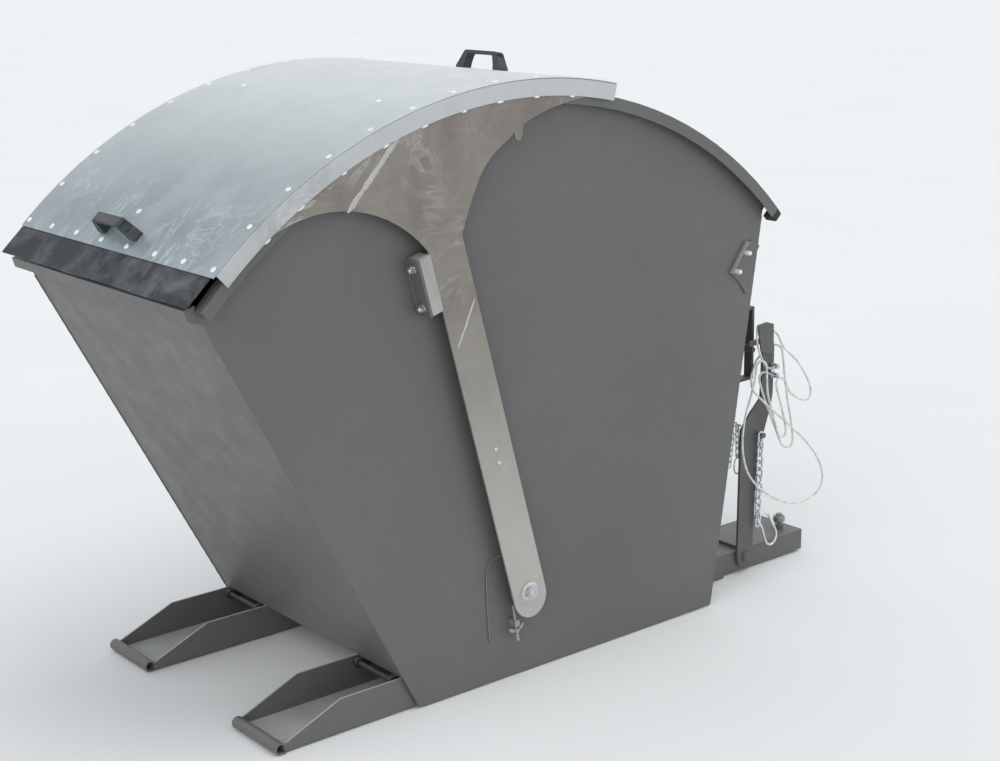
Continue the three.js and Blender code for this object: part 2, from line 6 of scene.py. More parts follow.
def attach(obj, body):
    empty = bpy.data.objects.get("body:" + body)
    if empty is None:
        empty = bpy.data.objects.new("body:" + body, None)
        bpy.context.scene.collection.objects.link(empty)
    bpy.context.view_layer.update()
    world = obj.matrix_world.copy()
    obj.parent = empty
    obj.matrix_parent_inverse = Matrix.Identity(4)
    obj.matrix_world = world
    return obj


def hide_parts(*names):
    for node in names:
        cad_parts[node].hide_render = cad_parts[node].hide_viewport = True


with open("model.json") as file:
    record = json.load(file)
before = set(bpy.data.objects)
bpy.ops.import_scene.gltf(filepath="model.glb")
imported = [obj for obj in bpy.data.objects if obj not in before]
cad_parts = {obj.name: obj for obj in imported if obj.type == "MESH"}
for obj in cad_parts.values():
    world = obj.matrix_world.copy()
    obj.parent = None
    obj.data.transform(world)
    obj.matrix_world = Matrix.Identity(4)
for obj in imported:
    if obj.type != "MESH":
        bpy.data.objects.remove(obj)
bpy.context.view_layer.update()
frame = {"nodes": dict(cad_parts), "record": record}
NODES, BODY = frame["nodes"], {}
for _b, _ns in frame["record"]["behaviour"]["bodies"].items():
    for _n in _ns:
        BODY[_n] = _b
random.seed(7)
YS = 864.45                       # drawing frame to model frame, along Y
PIV = (721.0, 227.0)              # lid pivots, centre of every arc
rad = math.radians


def P(x, y, z):
    return Vector((x / 1000, (y - YS) / 1000, z / 1000))


def polar(r, a):
    return (PIV[0] + r * math.cos(rad(a)), PIV[1] + r * math.sin(rad(a)))


ARM_A = 105.3
AU = (math.cos(rad(ARM_A)), math.sin(rad(ARM_A)))
AP = (math.sin(rad(ARM_A)), -math.cos(rad(ARM_A)))


def arm(s, p):
    return (PIV[0] + s * AU[0] + p * AP[0], PIV[1] + s * AU[1] + p * AP[1])


def rp(u, n):                     # rear stop's own frame
    return (1390 + 0.612 * u + 0.791 * n, 930 + 0.791 * u - 0.612 * n)


def front_y(z):
    return 410 - (z + 5) * 0.5249


def rear_y(z):
    return 1401 + (z - 3) * 0.1487


# ------------------------------------------------------------------ camera
AZ, EL, ROLL, F, T, DIST, CXY = rad(53.211), rad(16.169), rad(-1.407), 1762.066, (37.99, 636.716, 592.798), 4455.813, (400.0, 420.5)
back = Vector((math.sin(AZ) * math.cos(EL), -math.cos(AZ) * math.cos(EL), math.sin(EL)))
right = Vector((math.cos(AZ), math.sin(AZ), 0))
up = back.cross(right)
r_ = math.cos(ROLL) * right + math.sin(ROLL) * up
u_ = -math.sin(ROLL) * right + math.cos(ROLL) * up
cam = bpy.data.objects.new("camera", bpy.data.cameras.new("camera"))
bpy.context.scene.collection.objects.link(cam)
pos = P(*T) + back * DIST / 1000
m = Matrix.Identity(4)
for i in range(3):
    m[i][0], m[i][1], m[i][2], m[i][3] = r_[i], u_[i], back[i], pos[i]
cam.matrix_world = m
cam.data.sensor_width = 36
cam.data.lens = F / 1000 * 36
cam.data.shift_x = (500 - CXY[0]) / 1000
cam.data.shift_y = (CXY[1] - 380.5) / 1000
cam.data.clip_start, cam.data.clip_end = 0.05, 100
bpy.context.scene.camera = cam
bpy.context.scene.view_settings.view_transform = "Standard"


# ------------------------------------------------------------------ node helpers
class Mat:
    def __init__(self, name):
        self.m = bpy.data.materials.new(name)
        self.m.use_nodes = True
        self.t = self.m.node_tree
        self.t.nodes.clear()
        self.out = self.n("ShaderNodeOutputMaterial")
        self.b = self.n("ShaderNodeBsdfPrincipled")
        self.l(self.b.outputs[0], self.out.inputs[0])
        self.co = self.n("ShaderNodeTexCoord").outputs["Object"]

    def n(self, kind, **kw):
        x = self.t.nodes.new(kind)
        for k, v in kw.items():
            setattr(x, k, v)
        return x

    def l(self, a, b):
        self.t.links.new(a, b)

    def _set(self, sock, v):
        if hasattr(v, "is_linked") or isinstance(v, bpy.types.NodeSocket):
            self.l(v, sock)
        else:
            sock.default_value = v

    def mapped(self, scale=(1, 1, 1), rot=(0, 0, 0), loc=(0, 0, 0)):
        x = self.n("ShaderNodeMapping")
        self.l(self.co, x.inputs[0])
        x.inputs["Location"].default_value = loc
        x.inputs["Rotation"].default_value = rot
        x.inputs["Scale"].default_value = scale
        return x.outputs[0]

    def noise(self, scale, detail=3, rough=0.5, dist=0.0, co=None):
        x = self.n("ShaderNodeTexNoise")
        self.l(co if co is not None else self.co, x.inputs["Vector"])
        x.inputs["Scale"].default_value = scale
        x.inputs["Detail"].default_value = detail
        x.inputs["Roughness"].default_value = rough
        x.inputs["Distortion"].default_value = dist
        return x.outputs["Fac"]

    def ramp(self, fac, stops):
        x = self.n("ShaderNodeValToRGB")
        self.l(fac, x.inputs[0])
        e = x.color_ramp.elements
        while len(e) > len(stops):
            e.remove(e[-1])
        while len(e) < len(stops):
            e.new(1.0)
        for s, (p, c) in zip(e, stops):
            s.position = p
            s.color = c if len(c) == 4 else (*c, 1)
        return x.outputs[0]

    def rng(self, fac, a, b, c, d):
        x = self.n("ShaderNodeMapRange")
        self.l(fac, x.inputs[0])
        for i, v in enumerate((a, b, c, d)):
            x.inputs[i + 1].default_value = v
        return x.outputs[0]

    def math(self, op, a, b=0.0, clamp=False):
        x = self.n("ShaderNodeMath", operation=op, use_clamp=clamp)
        self._set(x.inputs[0], a)
        self._set(x.inputs[1], b)
        return x.outputs[0]

    def mix(self, fac, a, b, kind="MIX"):
        x = self.n("ShaderNodeMix", data_type="RGBA", blend_type=kind)
        self._set(x.inputs["Factor"], fac)
        self._set(x.inputs[6], a)
        self._set(x.inputs[7], b)
        return x.outputs[2]

    def bump(self, height, strength, distance, normal=None):
        x = self.n("ShaderNodeBump")
        self.l(height, x.inputs["Height"])
        x.inputs["Strength"].default_value = strength
        x.inputs["Distance"].default_value = distance
        if normal is not None:
            self.l(normal, x.inputs["Normal"])
        return x.outputs[0]

    def edge(self, radius):
        """About 1 on outer edges, 0 on flats."""
        bv = self.n("ShaderNodeBevel", samples=4)
        bv.inputs[0].default_value = radius
        g = self.n("ShaderNodeNewGeometry")
        d = self.n("ShaderNodeVectorMath", operation="DOT_PRODUCT")
        self.l(bv.outputs[0], d.inputs[0])
        self.l(g.outputs["Normal"], d.inputs[1])
        return self.rng(d.outputs["Value"], 0.995, 0.80, 0.0, 1.0)

    def up(self, lo=0.3, hi=0.95):
        g = self.n("ShaderNodeNewGeometry")
        s = self.n("ShaderNodeSeparateXYZ")
        self.l(g.outputs["Normal"], s.inputs[0])
        return self.rng(s.outputs[2], lo, hi, 0.0, 1.0)

    def axis(self, i):
        s = self.n("ShaderNodeSeparateXYZ")
        self.l(self.co, s.inputs[0])
        return s.outputs[i]

    def put(self, color, rough, normal=None, metal=0.0, spec=0.5):
        self._set(self.b.inputs["Base Color"], color)
        self._set(self.b.inputs["Roughness"], rough)
        self._set(self.b.inputs["Metallic"], metal)
        self.b.inputs["Specular IOR Level"].default_value = spec
        if normal is not None:
            self.l(normal, self.b.inputs["Normal"])
        return self.m


def lin(c):
    """sRGB 0-255 to linear."""
    v = c / 255
    return v / 12.92 if v <= 0.04045 else ((v + 0.055) / 1.055) ** 2.4


def rgb(r, g, b):
    return (lin(r), lin(g), lin(b), 1)


# ------------------------------------------------------------------ materials
def paint(name, c, wear_and_edge_light=0.5, rough=(0.40, 0.55), dust_and_lit_top_amount=(0.05, 0.4), dust_and_lit_top_c=(150, 147, 140)):
    k = Mat(name)
    big = k.noise(1.7, 4, 0.55)
    mid = k.noise(14, 4, 0.6)
    tiny = k.noise(420, 2, 0.5)
    base = k.mix(k.rng(big, 0.3, 0.7, 0, 1), rgb(c * 0.955, c * 0.955, c * 0.955), rgb(c * 1.045, c * 1.045, c * 1.04))
    base = k.mix(k.rng(mid, 0.42, 0.62, 0, 0.35), base, rgb(c * 0.97, c * 0.965, c * 0.955))
    base = k.mix(k.rng(tiny, 0.3, 0.7, 0, 0.14), base, rgb(c * 1.12, c * 1.12, c * 1.12))
    # rubbed edges, lighter where the paint is thin, a few bare spots; the same light edge line is also a painted edge
    # highlight
    e = k.edge(0.0022)
    spot = k.noise(60, 5, 0.65)
    worn_and_edge_light = k.math("MULTIPLY", e, k.rng(spot, 0.38, 0.62, 0.25, 1.0), True)
    base = k.mix(k.math("MULTIPLY", worn_and_edge_light, wear_and_edge_light), base, rgb(168, 168, 166))
    # fine scuffs
    sc = k.noise(9, 8, 0.75, 1.2, k.mapped((1, 6, 1.3), (0.3, 0.2, 0.4)))
    scuff = k.rng(sc, 0.64, 0.72, 0, 0.28)
    base = k.mix(scuff, base, rgb(c * 1.25, c * 1.25, c * 1.24))
    # settled dust on faces that look up, together with a painted top light; on the runners, where it is set strong and
    # light, it is mostly painted top light
    dust_and_lit_top_mask = k.math("MULTIPLY", k.up(0.5, 1.0), k.rng(mid, 0.35, 0.7, *dust_and_lit_top_amount))
    base = k.mix(dust_and_lit_top_mask, base, rgb(*dust_and_lit_top_c))
    rg = k.math("ADD", k.rng(mid, 0.3, 0.7, rough[0], rough[1]), k.math("MULTIPLY", scuff, 0.25))
    peel = k.bump(k.noise(650, 2, 0.5), 0.10, 0.0004)
    wavy = k.bump(k.noise(3.2, 2, 0.4), 0.35, 0.004, peel)
    return k.put(base, rg, wavy, 0.0, 0.45)


def galv(name, lo, hi, metal=0.7, rough=(0.36, 0.5), spangle=0.5, smear=0.6, size=75, low_end=False, streak=(0.2, 0.5, 0.9), warm=None, wavy=0.12, veins=1.0, foot=None, top=None):
    k = Mat(name)
    v = k.n("ShaderNodeTexVoronoi", feature="F1")
    k.l(k.co, v.inputs["Vector"])
    v.inputs["Scale"].default_value = size
    s = k.n("ShaderNodeSeparateColor")
    k.l(v.outputs["Color"], s.inputs[0])
    cell = s.outputs[0]
    big = k.noise(2.3, 4, 0.55, 0.4)
    cloud = k.noise(7.5, 5, 0.6, 0.8)
    base = k.mix(k.rng(big, 0.32, 0.68, 0, 1), rgb(*lo), rgb(*hi))
    base = k.mix(k.math("MULTIPLY", k.rng(cell, 0, 1, 0, 1), 0.30 * spangle), base, rgb(*[min(255, x * 1.16) for x in hi]))
    base = k.mix(k.rng(cloud, 0.46, 0.66, 0, 0.55 * smear), base, rgb(*[x * 0.90 for x in lo]))
    # wiped and run marks: thin bent veins and long streaks
    vein = k.noise(5.2, 6, 0.62, 2.2, k.mapped((1.0, 0.55, 0.55), streak))
    vm = k.math("SUBTRACT", 1.0, k.rng(k.math("ABSOLUTE", k.math("SUBTRACT", vein, 0.53)), 0.0, 0.028, 0.0, 1.0), True)
    patch = k.rng(k.noise(3.1, 3, 0.5), 0.42, 0.58, 0, 1)
    vm = k.math("MULTIPLY", vm, patch, True)
    if low_end:
        z = k.axis(2)
        near = k.rng(z, 1.30, 1.14, 0.12, 1.0)
        vm = k.math("MULTIPLY", vm, near, True)
    base = k.mix(k.math("MULTIPLY", vm, 0.62 * smear * veins), base, rgb(222, 226, 227))
    if warm is not None:
        base = k.mix(k.rng(k.noise(4.3, 4, 0.6, 1.0), 0.45, 0.68, 0, 0.7), base, rgb(*warm))
    # painted top light: the upper part is mixed toward a lighter colour where it faces the sky
    if top is not None:
        base = k.mix(k.rng(k.axis(2), 1.19, 1.43, 0.0, 0.85), base, rgb(*top))
    if foot is not None:
        base = k.mix(k.rng(k.axis(2), 1.0, 0.34, 0.0, 0.9), base, rgb(*foot))
    st = k.noise(22, 7, 0.7, 0.6, k.mapped((0.4, 0.25, 3.0), streak))
    base = k.mix(k.rng(st, 0.55, 0.75, 0, 0.30 * smear), base, rgb(*[min(255, x * 1.13) for x in hi]))
    # painted edge highlight: edges mixed toward a light zinc grey
    e = k.edge(0.0015)
    base = k.mix(k.math("MULTIPLY", e, 0.35), base, rgb(214, 216, 215))
    rg = k.math("ADD", k.rng(cell, 0, 1, rough[0], rough[1]), k.math("MULTIPLY", vm, 0.2))
    rg = k.math("ADD", rg, k.rng(cloud, 0.4, 0.7, 0.0, 0.09))
    nb = k.bump(cell, 0.05 * spangle, 0.0005)
    nb = k.bump(k.noise(4.0, 2, 0.4), wavy, 0.003, nb)
    nb = k.bump(k.noise(300, 3, 0.6), 0.08, 0.0003, nb)
    return k.put(base, rg, nb, metal, 0.5)


def metal(name, c, rough=(0.22, 0.4), m=0.9, tint=None, grime=0.25, scale=1.0):
    k = Mat(name)
    a = k.noise(110 * scale, 4, 0.6)
    b = k.noise(28 * scale, 3, 0.6)
    base = k.mix(k.rng(a, 0.3, 0.7, 0, 1), rgb(*[x * 0.94 for x in c]), rgb(*[min(255, x * 1.05) for x in c]))
    if tint:
        base = k.mix(k.rng(b, 0.42, 0.62, 0, 0.55), base, rgb(*tint))
    base = k.mix(k.rng(k.noise(75 * scale, 5, 0.7), 0.58, 0.75, 0, grime), base, rgb(92, 86, 78))
    # painted edge highlight: edges mixed toward near-white
    e = k.edge(0.0008)
    base = k.mix(k.math("MULTIPLY", e, 0.3), base, rgb(232, 232, 232))
    return k.put(base, k.rng(b, 0.3, 0.7, *rough), k.bump(a, 0.10, 0.0003), m, 0.5)


def rubber(name, c, dust_and_lit_top_amount=0.5):
    k = Mat(name)
    a = k.noise(9, 5, 0.62, 0.5)
    f = k.noise(520, 3, 0.6)
    base = k.mix(k.rng(k.noise(3.5, 3, 0.5), 0.35, 0.65, 0, 1), rgb(*[x * 0.88 for x in c]), rgb(*[x * 1.10 for x in c]))
    base = k.mix(k.rng(a, 0.45, 0.7, 0, dust_and_lit_top_amount), base, rgb(118, 119, 124))
    sm = k.noise(6, 7, 0.7, 1.5, k.mapped((0.5, 2.0, 2.0), (0.1, 0.6, 0.3)))
    base = k.mix(k.rng(sm, 0.60, 0.70, 0, 0.35 * dust_and_lit_top_amount), base, rgb(140, 141, 146))
    base = k.mix(k.rng(f, 0.35, 0.7, 0, 0.15), base, rgb(40, 41, 44))
    base = k.mix(k.math("MULTIPLY", k.edge(0.002), 0.35), base, rgb(120, 121, 124))
    nb = k.bump(f, 0.18, 0.0004)
    nb = k.bump(k.noise(16, 3, 0.5), 0.35, 0.002, nb)
    return k.put(base, k.rng(a, 0.3, 0.7, 0.62, 0.82), nb, 0.0, 0.4)


def plastic(name, c, rough=(0.32, 0.46), grain=0.14):
    k = Mat(name)
    a = k.noise(60, 4, 0.6)
    g = k.n("ShaderNodeTexVoronoi", feature="F1")
    k.l(k.co, g.inputs["Vector"])
    g.inputs["Scale"].default_value = 900
    base = k.mix(k.rng(a, 0.35, 0.65, 0, 1), rgb(*[x * 0.92 for x in c]), rgb(*[x * 1.1 for x in c]))
    dust_and_lit_top_mask = k.math("MULTIPLY", k.up(0.2, 1.0), k.rng(k.noise(25, 4, 0.6), 0.35, 0.7, 0.05, 0.30))
    base = k.mix(dust_and_lit_top_mask, base, rgb(128, 130, 134))
    # painted highlight: the edges of the dark plastic are mixed lighter, as lit edges
    base = k.mix(k.math("MULTIPLY", k.edge(0.0018), 0.30), base, rgb(112, 117, 122))
    return k.put(base, k.rng(a, 0.3, 0.7, *rough), k.bump(g.outputs["Distance"], grain, 0.0004), 0.0, 0.5)
STEEL = paint("steel_paint", 97)
STEEL_IN = paint("steel_paint_inside", 88, 0.9)
# runner paint: a strong light tone on up-facing faces, a painted top light that brightens the channel floors
STEEL_RUN = paint("steel_paint_runner", 98, 0.6, dust_and_lit_top_amount=(0.8, 1.0), dust_and_lit_top_c=(186, 186, 184))
STEEL_DK = paint("steel_paint_dark", 70, 0.35)
# near-black paint for the hinge pins and lugs: painted shade, so they sink into the shadow under the front wall
STEEL_SHADE_DARK = paint("steel_paint_hinge_painted_shade", 50, 0.2)
# lighter copy of the plate paint: painted light, so the thin wire reads as a light line instead of dark
WIRE_LIT_P = paint("wire_paint_painted_light", 113, 0.2)
LEVER_P = paint("lever_paint", 90, 0.8)
# top= is a painted top light: the lid sheet lighter at its ridge, the edge strip lighter on its upper band
SHEET = galv("lid_galvanized", (149, 161, 167), (171, 181, 185), 0.62, (0.36, 0.48), 0.45, 0.75, 62, True, veins=1.5, wavy=0.08, top=(222, 226, 226))
STRIP = galv("strip_galvanized", (166, 169, 170), (186, 189, 189), 0.55, (0.38, 0.52), 0.5, 0.75, 70, False, (0.9, 0.1, 0.2), top=(194, 199, 201), wavy=0.25)
ARM_M = galv("arm_galvanized", (126, 120, 113), (148, 144, 137), 0.5, (0.40, 0.54), 0.45, 0.9, 48, False, (0.5, 0.1, 0.15), (125, 116, 111), veins=0.75, foot=(188, 187, 182))
BARS = galv("bar_galvanized", (138, 142, 143), (160, 163, 163), 0.6, (0.42, 0.55), 0.5, 0.5)
ZINC = metal("zinc_bright", (206, 208, 209), tint=(186, 192, 198))
ZINC_R = metal("zinc_rod", (168, 169, 168), (0.34, 0.48), 0.6, (150, 154, 157), 0.3)
ZINC_D = metal("zinc_dull", (160, 160, 156), (0.34, 0.5), 0.7, (120, 122, 122), 0.45)
ZINC_B = metal("zinc_bluish", (166, 178, 190), (0.28, 0.42), 0.85, (150, 166, 184), 0.2)
RIVET = metal("rivet_aluminium", (238, 240, 241), (0.38, 0.50), 0.45, None, 0.05)
CHAIN = metal("chain_zinc", (226, 229, 232), (0.18, 0.32), 0.85, (202, 211, 220), 0.15)
BRONZE = metal("bronze", (150, 118, 70), (0.35, 0.5), 0.9, (110, 84, 50), 0.35)
PLUG = rubber("plug_rubber", (38, 38, 40), 0.2)
FLAP = rubber("flap_rubber", (49, 54, 61), 0.8)
BLOCK = rubber("stop_block", (182, 183, 181), 0.2)
PAD = rubber("stop_pad", (140, 141, 138), 0.2)
BLACK = plastic("handle_plastic", (44, 50, 56))
WIRE = plastic("rope_plastic", (212, 214, 209), (0.28, 0.40), 0.05)
WELD = paint("weld_paint", 96, 0.25, (0.35, 0.5))
WELD_G = metal("weld_galvanized", (240, 241, 240), (0.22, 0.34), 0.7, None, 0.05)

COL = bpy.context.scene.collection


# ------------------------------------------------------------------ mesh helpers
def obj_of(name, bm, mat, body, smooth=35, weighted=True, replaces=()):
    bmesh.ops.recalc_face_normals(bm, faces=bm.faces)
    me = bpy.data.meshes.new(name)
    bm.to_mesh(me)
    bm.free()
    me.materials.append(mat)
    for p in me.polygons:
        p.use_smooth = True
    me.set_sharp_from_angle(angle=rad(smooth))
    o = bpy.data.objects.new(name, me)
    COL.objects.link(o)
    if weighted:
        w = o.modifiers.new("wn", "WEIGHTED_NORMAL")
        w.keep_sharp = True
        w.weight = 80
    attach(o, body)
    if replaces:
        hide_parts(*replaces)
    return o


def sharp_edges(bm, angle):
    return [e for e in bm.edges if len(e.link_faces) == 2 and e.calc_face_angle(0) > rad(angle)]


def bevel(bm, edges, w, seg=2):
    if edges:
        bmesh.ops.bevel(bm, geom=edges, offset=w, offset_type="OFFSET", segments=seg, profile=0.5, affect="EDGES", clamp_overlap=True)


def node_bm(node):
    bm = bmesh.new()
    bm.from_mesh(NODES[node].data)
    bmesh.ops.remove_doubles(bm, verts=bm.verts, dist=2e-6)
    bmesh.ops.dissolve_limit(bm, angle_limit=rad(0.4), verts=bm.verts, edges=bm.edges, use_dissolve_boundaries=False)
    return bm


def refine(node, mat, w=0.8, seg=2, angle=30, smooth=35, big=None):
    """The node's own shape with its edges rounded. big = (test, width mm, segments) rounds some edges more."""
    bm = node_bm(node)
    if big:
        for test, bw, bs in big:
            es = [e for e in sharp_edges(bm, angle) if test((e.verts[0].co + e.verts[1].co) / 2, (e.verts[1].co - e.verts[0].co).normalized())]
            bevel(bm, es, bw / 1000, bs)
    es = sharp_edges(bm, angle)
    bevel(bm, es, w / 1000, seg)
    return obj_of("v_" + node, bm, mat, BODY[node], smooth, True, (node,))


def basis(axis):
    a = Vector(axis).normalized()
    h = Vector((0, 0, 1)) if abs(a.z) < 0.9 else Vector((1, 0, 0))
    x = h.cross(a).normalized()
    return x, a.cross(x), a


def lathe(bm, origin, axis, prof, n=32, flat=0):
    """Closed turned solid: prof = [(radius, height)] from the axis to the axis, in mm. flat is not used."""
    x, y, a = basis(axis)
    rings = []
    for r, h in prof:
        if r < 1e-6:
            rings.append([bm.verts.new(origin + a * h / 1000)])
        else:
            rings.append([bm.verts.new(origin + (x * math.cos(2 * math.pi * i / n) + y * math.sin(2 * math.pi * i / n)) * r / 1000 + a * h / 1000) for i in range(n)])
    for p, q in zip(rings, rings[1:]):
        for i in range(n):
            j = (i + 1) % n
            if len(p) == 1 and len(q) > 1:
                bm.faces.new((p[0], q[i], q[j]))
            elif len(q) == 1 and len(p) > 1:
                bm.faces.new((p[i], p[j], q[0]))
            elif len(p) > 1:
                bm.faces.new((p[i], p[j], q[j], q[i]))


def ring(bm, origin, axis, prof, n=32):
    """Closed turned ring: prof closes on itself."""
    x, y, a = basis(axis)
    rs = [[bm.verts.new(origin + (x * math.cos(2 * math.pi * i / n) + y * math.sin(2 * math.pi * i / n)) * r / 1000 + a * h / 1000) for i in range(n)] for r, h in prof]
    for k in range(len(rs)):
        p, q = rs[k], rs[(k + 1) % len(rs)]
        for i in range(n):
            j = (i + 1) % n
            bm.faces.new((p[i], p[j], q[j], q[i]))


def hexa(bm, origin, axis, af, h0, h1, turn=0.0, chamfer=True):
    """Hexagon head or nut with chamfered corners, from height h0 to h1 along axis, in mm."""
    x, y, a = basis(axis)
    R = af / math.sqrt(3)
    c = 1.1 if chamfer else 0.01
    n = 48

    def corner_r(t):
        k = (t - turn) % (math.pi / 3)
        return af / 2 / math.cos(k - math.pi / 6)
    rows = [(h0, 0.0), (h0 + c * 0.6, 1.0), (h1 - c * 0.6, 1.0), (h1, 0.0)]
    rings = []
    for h, full in rows:
        rr = []
        for i in range(n):
            t = 2 * math.pi * i / n
            r = corner_r(t)
            if full < 1:
                r = min(r, af / 2 + (R - af / 2) * 0.15) - 0.35
            rr.append(bm.verts.new(origin + (x * math.cos(t) + y * math.sin(t)) * r / 1000 + a * h / 1000))
        rings.append(rr)
    for p, q in zip(rings, rings[1:]):
        for i in range(n):
            j = (i + 1) % n
            bm.faces.new((p[i], p[j], q[j], q[i]))
    bm.faces.new(rings[0][::-1])
    bm.faces.new(rings[-1])


def thread(bm, origin, axis, r, h0, h1, pitch=1.5, n=20):
    """Threaded rod: rings with a ridged profile and chamfered ends."""
    prof = [(0, h0), (r - 1.0, h0), (r - 0.25, h0 + 0.9)]
    h = h0 + 1.2
    while h < h1 - 1.4:
        prof += [(r, h), (r - 0.62, h + pitch * 0.5)]
        h += pitch
    prof += [(r - 0.25, h1 - 0.8), (r - 1.0, h1), (0, h1)]
    lathe(bm, origin, axis, prof, n)


def sweep(bm, pts, r, n=10, closed=False, rfun=None, flatten=None):
    """Round bar along a path in metres. rfun(k) scales the radius at point k."""
    N = len(pts)
    tang = []
    for i in range(N):
        a = pts[(i - 1) % N] if (closed or i > 0) else pts[i]
        b = pts[(i + 1) % N] if (closed or i < N - 1) else pts[i]
        tang.append((b - a).normalized())
    t0 = tang[0]
    ref = Vector((0, 0, 1)) if abs(t0.z) < 0.8 else Vector((1, 0, 0))
    nx = (ref - t0 * ref.dot(t0)).normalized()
    frames = [nx]
    for i in range(1, N):
        q = tang[i - 1].rotation_difference(tang[i])
        v = q @ frames[-1]
        v = (v - tang[i] * v.dot(tang[i])).normalized()
        frames.append(v)
    twist = 0.0
    if closed:
        q = tang[-1].rotation_difference(tang[0])
        v = q @ frames[-1]
        twist = math.atan2(v.cross(frames[0]).dot(tang[0]), v.dot(frames[0]))
    rings = []
    for i in range(N):
        x = frames[i]
        if closed:
            x = Matrix.Rotation(twist * i / N, 3, tang[i]) @ x
        y = tang[i].cross(x)
        rr = r * (rfun(i) if rfun else 1.0)
        rings.append([bm.verts.new(pts[i] + (x * math.cos(2 * math.pi * k / n) + y * math.sin(2 * math.pi * k / n)) * rr) for k in range(n)])
    for i in range(N if closed else N - 1):
        p, q = rings[i], rings[(i + 1) % N]
        for k in range(n):
            j = (k + 1) % n
            bm.faces.new((p[k], p[j], q[j], q[k]))
    if not closed:
        bm.faces.new(rings[0][::-1])
        bm.faces.new(rings[-1])


def resample(pts, step):
    """Points about one step apart along a polyline, in metres."""
    out, acc = [pts[0].copy()], 0.0
    for a, b in zip(pts, pts[1:]):
        L = (b - a).length
        n = max(1, round(L / step))
        out += [a.lerp(b, (i + 1) / n) for i in range(n)]
    return out


def bead(bm, pts, r=2.6, ripple=2.2):
    """Weld bead: a run of overlapping ripples along a path in mm points."""
    p = resample([P(*q) for q in pts], ripple / 1000 / 2)
    ph = random.random()
    wob = [1 + 0.09 * math.sin(i * 0.21 + ph * 6) + (0.10 if i % 2 else -0.06) for i in range(len(p))]
    wob[0] = wob[-1] = 0.5
    sweep(bm, p, r / 1000, 8, False, lambda i: wob[i])


def catmull(pts, closed=False, per=10):
    """Centripetal Catmull-Rom through the points, as the CAD route has it."""
    out, L = [], len(pts)
    segs = L if closed else L - 1
    for s in range(segs):
        p1, p2 = pts[s % L], pts[(s + 1) % L]
        p0 = pts[(s - 1) % L] if (closed or s > 0) else pts[0] * 2 - pts[1]
        p3 = pts[(s + 2) % L] if (closed or s + 2 < L) else pts[-1] * 2 - pts[-2]
        d0, d1, d2 = [max(1e-4, (b - a).length) ** 0.5 for a, b in ((p0, p1), (p1, p2), (p2, p3))]
        t1 = ((p1 - p0) / d0 - (p2 - p0) / (d0 + d1) + (p2 - p1) / d1) * d1
        t2 = ((p2 - p1) / d1 - (p3 - p1) / (d1 + d2) + (p3 - p2) / d2) * d1
        for i in range(per):
            t = i / per
            out.append(p1 + t1 * t + (-3 * p1 + 3 * p2 - 2 * t1 - t2) * t * t + (2 * p1 - 2 * p2 + t1 + t2) * t ** 3)
    if not closed:
        out.append(pts[-1].copy())
    return out


def yz_solid(bm, pts, x0, x1):
    """Prism: outline in (Y, Z) mm, from x0 to x1."""
    a = [bm.verts.new(P(x0, *p)) for p in pts]
    b = [bm.verts.new(P(x1, *p)) for p in pts]
    n = len(pts)
    bm.faces.new(a[::-1])
    bm.faces.new(b)
    for i in range(n):
        j = (i + 1) % n
        bm.faces.new((a[i], a[j], b[j], b[i]))


def both(f):
    """Calls f(side) for the near (+1) and far (-1) side."""
    for s, nm in ((1, "near"), (-1, "far")):
        f(s, nm)


